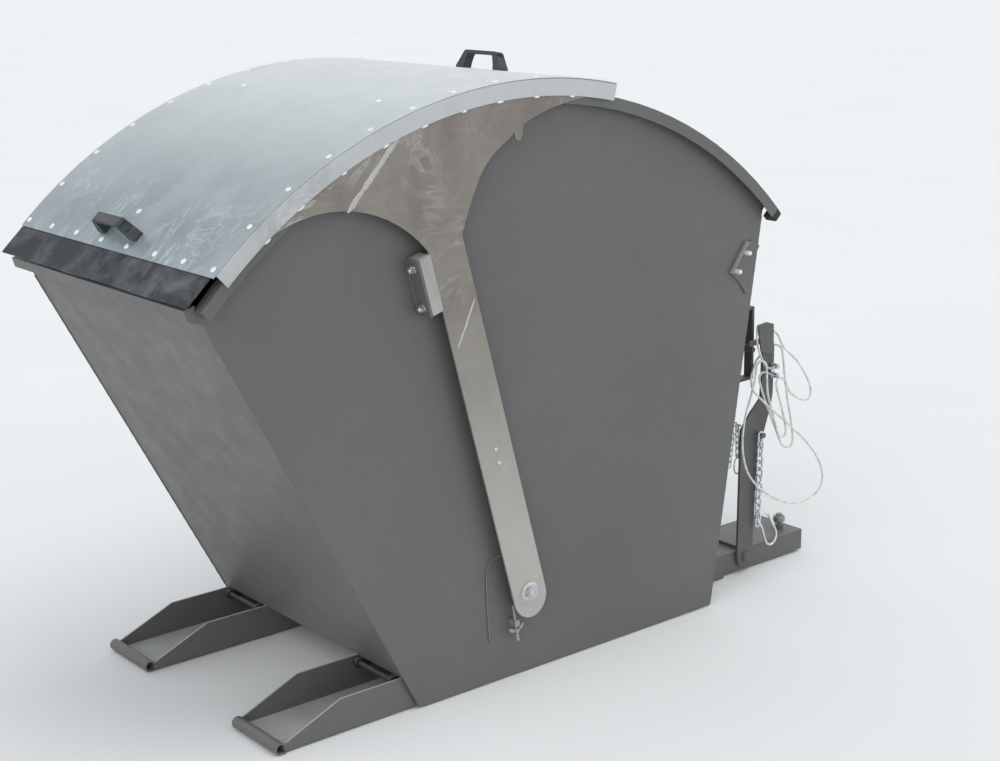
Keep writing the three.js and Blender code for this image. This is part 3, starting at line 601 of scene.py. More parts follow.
# ------------------------------------------------------------------ the pull rope (first, because its spread is checked)
ROPE = [
    (304, 1738, 592), (304.1, 1718.1, 591.1), (303.8, 1701.4, 601.1), (300, 1677.7, 646.7), (294.4, 1674.1, 673.6),
    (286.1, 1683.8, 693.8), (275.2, 1694.9, 706.1), (269, 1713.5, 707.5), (271, 1743.3, 697.6), (286.3, 1763.8, 679.2),
    (295.8, 1782.3, 640.5), (305, 1833.4, 591.3), (307.6, 1875.9, 533.4), (308.5, 1886.5, 511.9), (309, 1890.7, 492.6),
    (309, 1885, 477.9), (309, 1870.5, 472.6), (307.6, 1813.6, 499.2), (304.3, 1789.3, 534.7), (299.9, 1779.9, 601.6),
    (299.2, 1776.8, 621.4), (294.2, 1776.3, 636.3), (281.9, 1772.2, 644.7), (271.8, 1760.6, 641.8), (268.2, 1705.7, 611.1),
    (284, 1675.5, 590.9), (296.3, 1656, 584.3), (307.3, 1641.3, 569.9), (315.8, 1638.5, 548.2), (326.3, 1686.1, 496.9),
    (327.1, 1742.4, 452), (327, 1798.8, 407.3), (327, 1853.6, 360.8), (327, 1902.4, 308), (327, 1929.3, 263.7),
    (327, 1935.7, 228.7), (327, 1920.8, 196.9), (327, 1853.8, 176.2), (327.1, 1783.6, 190.9), (326.2, 1719.2, 222.6),
    (324.9, 1661.1, 264.9), (323.5, 1616.6, 320.8), (320.7, 1599.5, 390), (315.8, 1609.6, 460.9), (309.3, 1639.9, 525.7),
    (306, 1658.6, 574), (307.6, 1660.4, 597.8), (309.7, 1661.7, 613.5), (313.9, 1672.9, 621.7), (317.9, 1685.2, 613.5),
    (319.6, 1688, 597.9), (318.7, 1697.4, 526.8), (317.5, 1723.4, 459.8), (317.5, 1739.9, 419.1), (317.5, 1746.2, 400.2),
    (317.5, 1757.3, 389.2), (317.9, 1772.9, 388.1), (318.1, 1779.3, 401.6), (319, 1758.7, 470.3), (319.8, 1736.3, 525.9),
    (320, 1731.5, 541.2), (319.7, 1732.6, 556.4), (318.7, 1747.4, 560.1), (317, 1765.6, 552.7), (313.4, 1788.9, 485.3),
    (312.5, 1808.7, 416.2), (312.3, 1815.9, 380.9), (312.1, 1817.5, 365), (311.5, 1812.1, 350.4), (311, 1796.6, 348.1),
    (310.5, 1775.8, 358.9), (310.5, 1740.4, 421.5), (309.8, 1706.4, 485), (302.9, 1687.2, 541), (300.6, 1683.9, 556.5),
    (298.6, 1684.3, 572.2), (297.8, 1696.1, 581.6), (299.1, 1711.4, 578.6), (302.9, 1736.3, 566.4),
]
dense = catmull([P(*p) for p in ROPE], False, 6)
cu = bpy.data.curves.new("pull_rope_line", "CURVE")
cu.dimensions = "3D"
sp = cu.splines.new("POLY")
sp.points.add(len(dense) - 1)
for q, p in zip(sp.points, dense):
    q.co = (*p, 1)
cu.bevel_depth = 0.003
cu.bevel_resolution = 3
cu.use_fill_caps = True
rope = bpy.data.objects.new("v_pull_rope", cu)
COL.objects.link(rope)
cu.materials.append(WIRE)
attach(rope, "lever")
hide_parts("pull_rope")

# ------------------------------------------------------------------ carried-over nodes with rounded edges
rr_ = lambda c: math.hypot(c.y * 1000 + YS - PIV[0], c.z * 1000 - PIV[1])
for s in ("near", "far"):
    refine("runner_" + s, STEEL_RUN, 0.9, 2, big=[
        (lambda c, d: abs(d.y) > 0.95 and c.z < 0.0005, 7.0, 4),
        (lambda c, d: abs(d.y) > 0.95 and 0.004 < c.z < 0.006, 2.5, 3)])
    refine("fork_pocket_" + s, STEEL, 3.0, 3)
    refine("fork_sleeve_" + s, STEEL, 1.0, 2, big=[(lambda c, d: abs(d.y) > 0.95, 4.2, 4)])
    refine("side_plate_" + s, STEEL, 0.9)
    refine("rim_angle_" + s, STEEL, 1.0, 2, big=[(lambda c, d: abs(abs(c.x) - 0.43) < 0.0006 and abs(rr_(c) - 1203.6) < 0.7 and abs(d.x) < 0.2, 3.2, 4)])
    refine("front_stop_bracket_" + s, STEEL, 1.2)
    refine("rear_stop_bracket_" + s, STEEL, 1.4)
    refine("front_stop_buffer_" + s, BLOCK, 2.6, 3)
    refine("rear_stop_buffer_" + s, PAD, 1.8, 3)
    refine("pivot_boss_" + s, STEEL_DK, 1.2)
    refine("hinge_lug_" + s, STEEL_SHADE_DARK, 1.0)
    refine("lid_edge_angle_" + s, STRIP, 0.8, 2, big=[(lambda c, d: abs(abs(c.x) - 0.4398) < 0.0006 and abs(rr_(c) - 1233.6) < 0.7 and abs(d.x) < 0.2, 3.4, 5)])
    refine("lid_arm_" + s, ARM_M, 0.9, 2)
    refine("pivot_bush_" + s, BRONZE, 0.4, 1)
refine("cross_beam", STEEL, 3.2, 3)
refine("rear_strap", STEEL, 1.2)
refine("front_wall", STEEL, 0.8)
refine("front_lip", STEEL, 1.2, 2)
refine("rear_wall", STEEL, 0.8)
refine("floor_sheet", STEEL_IN, 0.6, 1)
refine("rear_cover", STEEL, 0.8)
refine("striker", STEEL_DK, 2.0, 3)
refine("lid_sheet", SHEET, 0.6, 2)
refine("lid_front_bar", BARS, 1.2)
refine("lid_rear_bar", BARS, 1.2)
refine("lid_mid_bar", BARS, 1.2)
refine("latch_lever", LEVER_P, 1.4, 3)
refine("lever_paddle", LEVER_P, 1.3, 3)


# ------------------------------------------------------------------ tip tubes, pins
def tips(s, nm):
    """The floor's front edge is rolled over into an open curl, 5 mm thick, with a dark bore at each end."""
    x0, x1 = (205, 391) if s > 0 else (-391, -205)
    cy, cz, ro, ri = 13.2, 14.8, 14.8, 9.9
    outer = [(28.1, 0.15), (22.0, 0.05)] + [(cy + ro * math.cos(rad(t)), cz + ro * math.sin(rad(t))) for t in range(-90, -391, -10)]
    inner = [(cy + ri * math.cos(rad(t)), cz + ri * math.sin(rad(t))) for t in range(-388, -89, 10)] + [(18.0, 5.0), (28.1, 5.0)]
    bm = bmesh.new()
    yz_solid(bm, outer + inner, x0, x1)
    bmesh.ops.recalc_face_normals(bm, faces=bm.faces)
    bevel(bm, [e for e in bm.edges if abs(e.verts[0].co.x - e.verts[1].co.x) < 1e-6 and len(e.link_faces) == 2 and e.calc_face_angle(0) > 1.0], 0.9 / 1000, 2)
    obj_of("v_tip_tube_" + nm, bm, STEEL, "base", 32, True, ("tip_tube_" + nm,))
    # pivot pin with a collar at each end, in near-black paint that stands in for the shade it sits in
    bm = bmesh.new()
    a, b = (208.4, 382.6) if s > 0 else (-382.6, -208.4)
    lathe(bm, P(0, 352.2, 75), (1, 0, 0), [(0, a), (6.2, a), (7, a + 0.8), (7, b - 0.8), (6.2, b), (0, b)], 32)
    obj_of("v_hinge_pin_" + nm, bm, STEEL_SHADE_DARK, "base", 40, True, ("hinge_pin_" + nm,))


both(tips)


# ------------------------------------------------------------------ lid pivots
def pivot(s, nm):
    ax = (s, 0, 0)
    o = P(0, *PIV)
    bm = bmesh.new()
    # thick washer with a rolled edge
    ring(bm, o, ax, [(10.4, 436.8), (25.8, 436.8), (26.8, 437.3), (26.9, 438.0), (25.4, 439.1), (21.0, 440.5), (15.5, 441.3), (10.4, 441.3)], 56)
    # nut with its washer face
    hexa(bm, o, ax, 29, 441.9, 451.2, 0.35)
    ring(bm, o, ax, [(10.2, 441.3), (13.6, 441.3), (13.8, 441.9), (10.2, 442.0)], 40)
    thread(bm, o, ax, 9.2, 450.4, 454.0, 1.4, 36)
    # shank and inner nut
    lathe(bm, o, ax, [(0, 366.2), (8.6, 366.2), (10, 367.6), (10, 441.0), (0, 441.0)], 40)
    hexa(bm, o, ax, 30, 374, 391, 0.1)
    ring(bm, o, ax, [(10.4, 391.6), (17.4, 391.6), (18, 392.2), (18, 395), (17.4, 395.5), (10.4, 395.5)], 40)
    obj_of("v_pivot_bolt_" + nm, bm, ZINC, "bin", 32, True, ("pivot_bolt_" + nm,))


both(pivot)


# ------------------------------------------------------------------ helper rods at the arms' feet
def helper(s, nm):
    L = math.hypot(15, 97)
    ux, uz = 15 / L, -97 / L
    at = lambda t: P(s * 419, 683 + ux * t, 197 + uz * t)
    d = Vector((0, ux, uz))
    bm = bmesh.new()
    thread(bm, at(0), d, 4.2, 0, 98, 1.25, 18)
    # wing nut: hub and two bent wings
    lathe(bm, at(62), d, [(0, 0), (5.2, 0), (8.2, 1.2), (8.6, 4), (7.0, 9), (5.8, 13.4), (0, 13.4)], 28)
    for k in (-1, 1):
        c0, side = at(66), Vector((0, uz, -ux)) * k
        prof = [(6, -3.4), (13, -4.6), (19.6, -9.8), (23.2, -8.6), (23.6, -5.4), (18.4, 2.0), (10, 5.2), (6, 6)]
        a = [bm.verts.new(c0 + side * p / 1000 + d * q / 1000 + Vector((s * 1.6, 0, 0)) / 1000) for p, q in prof]
        b = [bm.verts.new(c0 + side * p / 1000 + d * q / 1000 - Vector((s * 1.6, 0, 0)) / 1000) for p, q in prof]
        bm.faces.new(a)
        bm.faces.new(b[::-1])
        for i in range(len(a)):
            j = (i + 1) % len(a)
            bm.faces.new((a[i], b[i], b[j], a[j]))
    # guide block welded on the side plate
    q = [at(40), at(56)]
    n = Vector((0, -uz, ux))
    w = 7 / 1000
    ring_ = []
    for x in (400.4, 426.5):
        dx = Vector((s * (x - 419) / 1000, 0, 0))
        ring_.append([bm.verts.new(v + dx + n * k * w) for v, k in ((q[0], -1), (q[0], 1), (q[1], 1), (q[1], -1))])
    a, b = ring_
    bm.faces.new(a)
    bm.faces.new(b[::-1])
    for i in range(4):
        j = (i + 1) % 4
        bm.faces.new((a[i], b[i], b[j], a[j]))
    bmesh.ops.recalc_face_normals(bm, faces=bm.faces)
    bevel(bm, [e for e in sharp_edges(bm, 50) if min(v.co.x * s for v in e.verts) > 0.4175 and e.calc_length() > 0.002 and abs(e.verts[0].co.x - e.verts[1].co.x) < 0.003 and len(e.link_faces[0].verts) <= 8 and e.link_faces[0].calc_area() > 2e-5], 0.6 / 1000, 2)
    obj_of("v_helper_rod_" + nm, bm, ZINC_R, "bin", 34, True, ("helper_rod_" + nm,))


both(helper)


def keeper(s, nm):
    """Thin painted wire that comes out from behind the arm's foot and hangs down the plate."""
    pts = [P(s * 402.2 if i > 1 else s * (404.2 - i), y, z) for i, (y, z) in enumerate([(688, 322), (672, 327), (657, 327.5), (643, 326), (629, 320), (619, 309), (614, 296), (612.5, 280), (613, 240), (615, 199), (618, 150), (621, 111)])]
    bm = bmesh.new()
    sweep(bm, catmull(pts, False, 8), 1.6 / 1000, 10, False, lambda i: 1)
    obj_of("helper_wire_" + nm, bm, WIRE_LIT_P, "bin", 60, False)


both(keeper)


# ------------------------------------------------------------------ rivets on the lid
def rivet(bm, o, ax, k=1.0):
    lathe(bm, o, ax, [(0, -0.6), (7.2 * k, -0.6), (7.4 * k, 0.35), (6.9 * k, 1.5), (5.8 * k, 2.4), (4.1 * k, 3.05), (2.1 * k, 3.4), (0, 3.5)], 24)


bm = bmesh.new()
spots = [(sx * 421, 132.4 - 5.51 * k) for sx in (-1, 1) for k in range(10)]
spots += [(x, 132.4) for x in (-301, -180, -60, 60, 180, 301)] + [(x, 78.35) for x in (-421, -301, -180, -60, 60, 180, 301, 421)] + [(x, 104.15) for x in (-280, 280)]
spots += [(-8, 128.1)]
for x, a in spots:
    y, z = polar(1236.6, a + random.uniform(-0.03, 0.03))
    rivet(bm, P(x + random.uniform(-1.5, 1.5), y, z), (0, math.cos(rad(a)), math.sin(rad(a))), random.uniform(0.96, 1.05))
obj_of("lid_rivets", bm, RIVET, "lid", 40, False)

# stitch welds that join each edge angle's leg to the arm plate, and the welded seams across the plate
def stitches(s, nm):
    bm = bmesh.new()
    for k, a0 in enumerate((126.6, 121.6, 115.5, 109.7, 104.4, 99.0, 94.0, 88.8, 83.6)):
        half = 0.40 + 0.06 * math.sin(k * 2.3)
        pts = [P(s * (437.9), *polar(1192.9, a0 - half + 2 * half * i / 14)) for i in range(15)]
        sweep(bm, pts, 2.9 / 1000, 10, False, lambda i: math.sin(math.pi * (i + 0.7) / 15.4) ** 0.5 * (1.0 + 0.07 * (-1) ** i))
    obj_of("lid_stitch_welds_" + nm, bm, WELD_G, "lid", 60, False)
    bm = bmesh.new()
    for (a, b, w, h) in (((352, 1362), (214, 1219), 6.4, 1.1), ((559, 981), (509, 873), 3.0, 0.9)):
        A, B = P(s * 436.4, *a), P(s * 436.4, *b)
        d = (B - A).normalized()
        side = d.cross(Vector((1, 0, 0)))
        n = int((B - A).length / 0.0018)
        rows = []
        for i in range(n + 1):
            t = i / n
            jit = lambda q: mnoise.noise(Vector((i * 0.09, q * 7.3, w))) * 0.9 + mnoise.noise(Vector((i * 0.45, q * 3.1, w + 4))) * 0.6
            c = A.lerp(B, t) + side * jit(1) * 0.0011
            e = min(1, (5 * t + 0.45), (5 * (1 - t) + 0.4))
            wl, wr = w * e * (1 + 0.42 * jit(2)), w * e * (1 + 0.42 * jit(3))
            hh = h * e * (1 + (0.18 if i % 2 else -0.12) + 0.4 * jit(4))
            rows.append([bm.verts.new(c + side * (u * (wl if u < 0 else wr)) / 1000 + Vector((s * v * hh / 1000, 0, 0))) for u, v in ((-1, -0.3), (-0.95, 0.15), (-0.55, 0.75), (0, 1.0), (0.55, 0.75), (0.95, 0.15), (1, -0.3))])
        for p, q in zip(rows, rows[1:]):
            for i in range(7):
                j = (i + 1) % 7
                bm.faces.new((p[i], p[j], q[j], q[i]))
        bm.faces.new(rows[0][::-1])
        bm.faces.new(rows[-1])
    obj_of("lid_seam_welds_" + nm, bm, SEAM, "lid", 60, False)
    # two small screws on the arm
    bm = bmesh.new()
    for sc in (362, 398):
        rivet(bm, P(s * 436.5, *arm(sc, 2)), (s, 0, 0), 0.8)
    obj_of("arm_screws_" + nm, bm, ZINC, "lid", 40, False)


SEAM = galv("seam_galvanized", (172, 170, 166), (190, 189, 185), 0.5, (0.38, 0.5), 0.3, 0.4, 80)
both(stitches)


# ------------------------------------------------------------------ stop bolts
def bolt(bm, o, ax, af=17, head=7.0, wash=10.6, rod=5.6, out=14.0, turn=0.2):
    ring(bm, o, ax, [(rod * 0.9, 0), (wash - 0.4, 0), (wash, 0.5), (wash, 1.6), (wash - 0.5, 2.0), (rod * 0.9, 2.0)], 32)
    hexa(bm, o, ax, af, 2.0, 2.0 + head, turn)
    thread(bm, o, ax, rod * 0.93, 1.0, out, 1.3, 24)


def stops(s, nm):
    bm = bmesh.new()
    for sc, t in ((899, 0.1), (804, 0.5)):
        bolt(bm, P(s * 421, *arm(sc, -91)), (0, -AP[0], -AP[1]), 17, 7.6, 11, 5.6, 14.2, t)
    obj_of("front_stop_bolts_" + nm, bm, ZINC, "bin", 34)
    bm = bmesh.new()
    for u, n, t in ((82, 56.5, 0.3), (26, 56.0, 0.0)):
        o = P(s * 405.6, *rp(u + 2, n + 2.4))
        ax = (s, 0, 0)
        hexa(bm, o, ax, 11.0, 0.0, 7.5, t)
        lathe(bm, o, ax, [(0, 6.5), (5.6, 6.5), (6.2, 8.0), (6.4, 15.5), (6.0, 19.5), (4.7, 21.6), (2.5, 23.2), (0, 23.8)], 32)
    obj_of("rear_stop_bolts_" + nm, bm, RIVET, "bin", 34)


both(stops)


# ------------------------------------------------------------------ handles
def handle(node, angle, xc, lt, lf, h):
    er = Vector((0, math.cos(rad(angle)), math.sin(rad(angle))))
    et = Vector((0, -math.sin(rad(angle)), math.cos(rad(angle))))
    c0 = P(xc, *polar(1236.9, angle))
    at = lambda a, b, w: c0 + Vector((a / 1000, 0, 0)) + er * b / 1000 + et * w / 1000
    out = [(-lf, 0), (-(lt - 3), 0), (-(lt - 5.4), h * 0.3), (-(lt - 10.6), h - 13.5), (-(lt - 16), h - 9), (lt - 16, h - 9), (lt - 10.6, h - 13.5), (lt - 5.4, h * 0.3), (lt - 3, 0), (lf, 0), (lf - 0.8, 6.5), (lf - 4.2, 11), (lt + 2.5, h - 3.8), (lt - 4.0, h - 0.1), (-(lt - 4.0), h - 0.1), (-(lt + 2.5), h - 3.8), (-(lf - 4.2), 11), (-(lf - 0.8), 6.5)]
    bm = bmesh.new()
    a = [bm.verts.new(at(p, q, -13)) for p, q in out]
    b = [bm.verts.new(at(p, q, 13)) for p, q in out]
    n = len(out)
    fa, fb = bm.faces.new(a[::-1]), bm.faces.new(b)
    side = [bm.faces.new((a[i], a[(i + 1) % n], b[(i + 1) % n], b[i])) for i in range(n)]
    bmesh.ops.recalc_face_normals(bm, faces=bm.faces)
    # screw pockets in the sloped ends
    pockets = [side[11], side[15]]
    bmesh.ops.inset_individual(bm, faces=pockets, thickness=0.0052, depth=0.0)
    for f in pockets:
        nrm = f.normal.copy()
        for v in f.verts:
            v.co -= nrm * 0.0042
    rim = [e for e in sharp_edges(bm, 18) if abs(abs((e.verts[0].co - e.verts[1].co).normalized().dot(et))) < 0.5 or min(abs((v.co - c0).dot(er)) for v in e.verts) > 0.002]
    bevel(bm, rim, 1.5 / 1000, 3)
    obj_of("v_" + node, bm, BLACK, "lid", 42, True, (node,))
    # pan-head screw in each pocket
    bm = bmesh.new()
    for k in (-1, 1):
        p0, p1 = Vector((lf - 4.2, 11)), Vector((lt + 2.5, h - 3.8))
        m_ = (p0 + p1) / 2
        nn = Vector((p1.y - p0.y, p0.x - p1.x)).normalized()
        base = m_ - nn * 4.1
        ax = Vector((k * nn.x, 0, 0)) + er * nn.y
        lathe(bm, at(k * base.x, base.y, 0), ax, [(0, -0.4), (4.6, -0.4), (4.8, 0.6), (4.0, 1.9), (2.4, 2.6), (1.7, 2.7), (1.5, 1.4), (0, 1.3)], 24)
    obj_of(node + "_screws", bm, BLACK, "lid", 40, False)


handle("handle_front", 131.1, -6, 58, 86, 48)
handle("handle_top", 79.45, 0, 60, 88, 46)


# ------------------------------------------------------------------ rubber flap
def flap():
    """Tongue clamped under the sheet, then a lip that hangs past it, a little wavy along its free edge."""
    mid = [(1231.7, 131.0), (1231.7, 131.9), (1231.7, 132.7), (1231.3, 133.35), (1232.4, 134.2), (1234.0, 135.1), (1236.2, 136.1), (1238.4, 137.05)]
    NX = 120
    bm = bmesh.new()
    top, bot = [], []
    for i in range(NX + 1):
        u = i / NX
        rt, rb = [], []
        for k, (r, a) in enumerate(mid):
            t = max(0.0, (k - 3) / 4)
            x0, x1 = (-400, 400) if k < 3 else (-439.5, 422)
            x = x0 + (x1 - x0) * u
            amp = 1.5 * (math.sin(x / 61 + 0.6) + 0.6 * math.sin(x / 27 + 2.0) + 0.5 * math.sin(x / 113))
            amp -= 2.6
            amp -= 3.4 * max(0.0, (x - 330) / 92) ** 2
            da = 0.0
            if t > 0:
                da = -0.10 * t * max(0.0, (x - 300) / 122) ** 2 - 0.025 * t * math.sin(x / 47)
                x -= 5.0 * t * max(0.0, (x - 380) / 42)
            rr = r + amp * t
            th = 1.9 if k < 7 else 1.6
            aa = a + da
            rt.append(bm.verts.new(P(x, *polar(rr + th, aa))))
            rb.append(bm.verts.new(P(x, *polar(rr - th, aa))))
        top.append(rt)
        bot.append(rb)
    K = len(mid)
    for i in range(NX):
        for k in range(K - 1):
            bm.faces.new((top[i][k], top[i + 1][k], top[i + 1][k + 1], top[i][k + 1]))
            bm.faces.new((bot[i][k], bot[i][k + 1], bot[i + 1][k + 1], bot[i + 1][k]))
        bm.faces.new((top[i][0], bot[i][0], bot[i + 1][0], top[i + 1][0]))
        bm.faces.new((top[i][K - 1], top[i + 1][K - 1], bot[i + 1][K - 1], bot[i][K - 1]))
    for e in (0, NX):
        for k in range(K - 1):
            f = (top[e][k], top[e][k + 1], bot[e][k + 1], bot[e][k])
            bm.faces.new(f if e == 0 else f[::-1])
    bmesh.ops.recalc_face_normals(bm, faces=bm.faces)
    bevel(bm, sharp_edges(bm, 50), 0.7 / 1000, 2)
    obj_of("v_lid_flap", bm, FLAP, "lid", 40, True, ("lid_flap",))


flap()


# ------------------------------------------------------------------ latch hardware
def stadium(c, hw, hl, flat, wire, bm, tilt=0.0, n=12, sides=12):
    """One welded chain link of round wire, in the X-Z plane if flat, else in the Y-Z plane."""
    pts = []
    for i in range(n + 1):
        t = math.pi * i / n
        pts.append((hw * math.cos(t), hl - hw + hw * math.sin(t)))
    for i in range(n + 1):
        t = math.pi + math.pi * i / n
        pts.append((hw * math.cos(t), -(hl - hw) + hw * math.sin(t)))
    rot = Matrix.Rotation(tilt, 3, "Z")
    q = []
    for u, v in pts:
        w = Vector((u, 0, v)) if flat else Vector((0, u, v))
        q.append(c + rot @ w / 1000)
    sweep(bm, q, wire / 2000, sides, True)


bm = bmesh.new()
for i in range(13):
    stadium(P(301.6, 1694, 408 - 21 * (i + 0.5)), 8.9, 13.9, i % 2 == 1, 6.6, bm, random.uniform(-0.16, 0.16))
# spring hook in the last but one link
hook = catmull([P(*p) for p in [(301.6, 1694, 160.5), (302.6, 1708, 167), (304.4, 1724, 166.5), (305.6, 1738, 154), (306.8, 1754, 126), (307.4, 1767, 100), (307.4, 1764, 79), (307, 1748, 67.5), (307, 1730, 75), (308.6, 1714, 104), (311.6, 1700, 132), (309.6, 1687, 152)]], True, 8)
sweep(bm, hook, 3.3 / 1000, 12, True)
# sprung gate sleeve along the hook's rear side, and its rivet
a, b = P(305.7, 1739.5, 151.5), P(306.9, 1756, 122)
sweep(bm, [a, a.lerp(b, 0.06), a.lerp(b, 0.94), b], 5.6 / 1000, 16, False, lambda i: (0.8, 1, 1, 0.8)[i])
lathe(bm, P(300.6, 1733, 161.5), (1, 0, 0), [(0, 0), (2.9, 0), (3.3, 0.6), (3.3, 8.4), (2.9, 9.0), (0, 9.0)], 18)
obj_of("v_safety_chain", bm, CHAIN, "chain", 50, False, ("safety_chain",))

# second short chain on the lever's inner side: two strands and an oval snap ring
bm = bmesh.new()
for i in range(5):
    stadium(P(267, 1635 + 0.9 * i, 434 - 16.5 * (i + 0.5)), 5.2, 10.6, i % 2 == 1, 4.0, bm, random.uniform(-0.2, 0.2), 10, 10)
for i in range(6):
    c = Vector((0, -14.5 / 97, -96 / 97))
    stadium(P(264, 1624 + c.y * 16 * (i + 0.5), 412 + c.z * 16 * (i + 0.5)), 4.8, 10.2, i % 2 == 0, 3.6, bm, random.uniform(-0.3, 0.3), 10, 10)
# barrel swivel and oval ring
lathe(bm, P(267, 1639.5, 343), (0, 0, 1), [(0, 0), (5.4, 0), (6.2, 1.2), (6.2, 7.5), (5.2, 9), (3.0, 9.6), (0, 9.6)], 24)
oval = []
for i in range(48):
    t = 2 * math.pi * i / 48
    oval.append(P(267, 1640 + 12.5 * math.sin(t), 317 + 24.5 * math.cos(t) * (1.0 if math.cos(t) < 0 else 0.96)))
sweep(bm, oval, 2.1 / 1000, 10, True)
# screw that both strands hang from
lathe(bm, P(0, 1634, 437), (1, 0, 0), [(0, 259), (6.6, 259), (7.0, 259.8), (7.0, 261.8), (3.0, 262.4), (3.0, 279.8), (0, 279.8)], 24)
ring_b = [P(264.6 + 1.5 * math.sin(t), 1629.5 + 6.8 * math.sin(t), 424 + 14 * math.cos(t)) for t in [2 * math.pi * i / 28 for i in range(28)]]
sweep(bm, ring_b, 1.9 / 1000, 10, True)
obj_of("lever_ring_chain", bm, CHAIN, "lever", 50, False)

# clamp plate with two nuts over the rope's ends
bm = bmesh.new()
pl = [(1738.7, 557.6), (1753.3, 557.6), (1753.3, 600.4), (1738.7, 600.4)]
yz_solid(bm, pl, 288.5, 292.6)
bmesh.ops.recalc_face_normals(bm, faces=bm.faces)
bevel(bm, sharp_edges(bm, 30), 1.0 / 1000, 2)
for z, t in ((566, 0.2), (592, 0.45)):
    o = P(0, 1746, z)
    ring(bm, o, (1, 0, 0), [(3.8, 292.7), (7.1, 292.7), (7.3, 293.2), (7.3, 306.2), (7.0, 306.8), (3.8, 306.8)], 32)
    ring(bm, o, (1, 0, 0), [(3.8, 297.0), (7.45, 297.0), (7.5, 297.5), (7.5, 301.5), (7.45, 302.0), (3.8, 302.0)], 32)
    hexa(bm, o, (1, 0, 0), 12.6, 306.8, 311.4, t)
    thread(bm, o, (1, 0, 0), 3.6, 306.0, 313.6, 1.0, 16)
obj_of("v_rope_bolt", bm, ZINC, "lever", 34, True, ("rope_bolt",))

# rope end ferrules, pressed on the rope where it meets the clamps
bm = bmesh.new()
for idx in (0, 1):
    seg = dense[1:8] if idx == 0 else dense[-8:-1]
    sweep(bm, seg, 3.9 / 1000, 14, False, lambda i: (0.86, 1, 1, 1, 1, 1, 0.86)[i] if i < 7 else 1)
obj_of("rope_ferrules", bm, ZINC_B, "lever", 40, False)

# lever pivot: painted round head on a washer
bm = bmesh.new()
o = P(0, 1662, 46)
ring(bm, o, (1, 0, 0), [(8.0, 288.5), (14.6, 288.5), (15.2, 289.1), (15.2, 290.8), (14.6, 291.4), (8.0, 291.4)], 40)
lathe(bm, o, (1, 0, 0), [(0, 270.2), (7.4, 270.2), (8, 270.8), (8, 291.0), (12.6, 291.4), (13.2, 292.2), (13.0, 295.0), (11.2, 297.0), (7.5, 298.0), (0, 298.0)], 40)
obj_of("v_lever_bolt", bm, LEVER_P, "base", 34, True, ("lever_bolt",))


# fork lock screws: threaded shank, knurled round head with a hexagon on it
def lock(s, nm):
    bm = bmesh.new()
    o = P(s * 230, 1868, 0)
    thread(bm, o, (0, 0, 1), 6.0, 62.2, 94, 1.75, 28)
    n = 72
    prof = [(0, 88.2), (13.2, 88.2), (16.0, 90.2), (16.9, 93.2), (16.9, 102.4), (15.6, 105.8), (12.4, 107.6), (0, 108.2)]
    x, y, a = basis((0, 0, 1))
    rings = []
    for r, h in prof:
        if r == 0:
            rings.append([bm.verts.new(o + a * h / 1000)])
            continue
        row = []
        for i in range(n):
            k = r * (1 - 0.03 * (i % 3 == 0)) if r > 15 else r
            row.append(bm.verts.new(o + (x * math.cos(2 * math.pi * i / n) + y * math.sin(2 * math.pi * i / n)) * k / 1000 + a * h / 1000))
        rings.append(row)
    for p, q in zip(rings, rings[1:]):
        for i in range(n):
            j = (i + 1) % n
            if len(p) == 1:
                bm.faces.new((p[0], q[i], q[j]))
            elif len(q) == 1:
                bm.faces.new((p[i], p[j], q[0]))
            else:
                bm.faces.new((p[i], p[j], q[j], q[i]))
    hexa(bm, o, (0, 0, 1), 15.6, 108.0, 113, 0.3)
    obj_of("v_lock_screw_" + nm, bm, ZINC_D, "lock_" + nm, 34, True, ("lock_screw_" + nm,))


both(lock)


# ------------------------------------------------------------------ rubber plugs on the rims' lower rear ends
def plugs(s, nm):
    bm = bmesh.new()
    prof = []
    for a in (44.15, 43.2):
        prof.append(polar(1204.4 if a > 44 else 1203.0, a))
    lo = [polar(1174.6 if a > 44 else 1176.2, a) for a in (43.2, 44.15)]
    pts = prof + lo
    x0, x1 = sorted((s * 395.6, s * 430.6))
    yz_solid(bm, pts, x0, x1)
    bmesh.ops.recalc_face_normals(bm, faces=bm.faces)
    bevel(bm, sharp_edges(bm, 30), 2.6 / 1000, 3)
    obj_of("rim_plug_" + nm, bm, PLUG, "bin", 40)


both(plugs)

# ------------------------------------------------------------------ fold that closes the rear wall's top against the fixed cover
bm = bmesh.new()
yz_solid(bm, [(1552.6, 1051.2), (1557.6, 1051.2), polar(1203.4, 44.82), polar(1200.2, 44.82)], -395.2, 395.2)
bmesh.ops.recalc_face_normals(bm, faces=bm.faces)
bevel(bm, sharp_edges(bm, 20), 0.8 / 1000, 2)
obj_of("rear_wall_fold", bm, STEEL, "bin", 40, True)

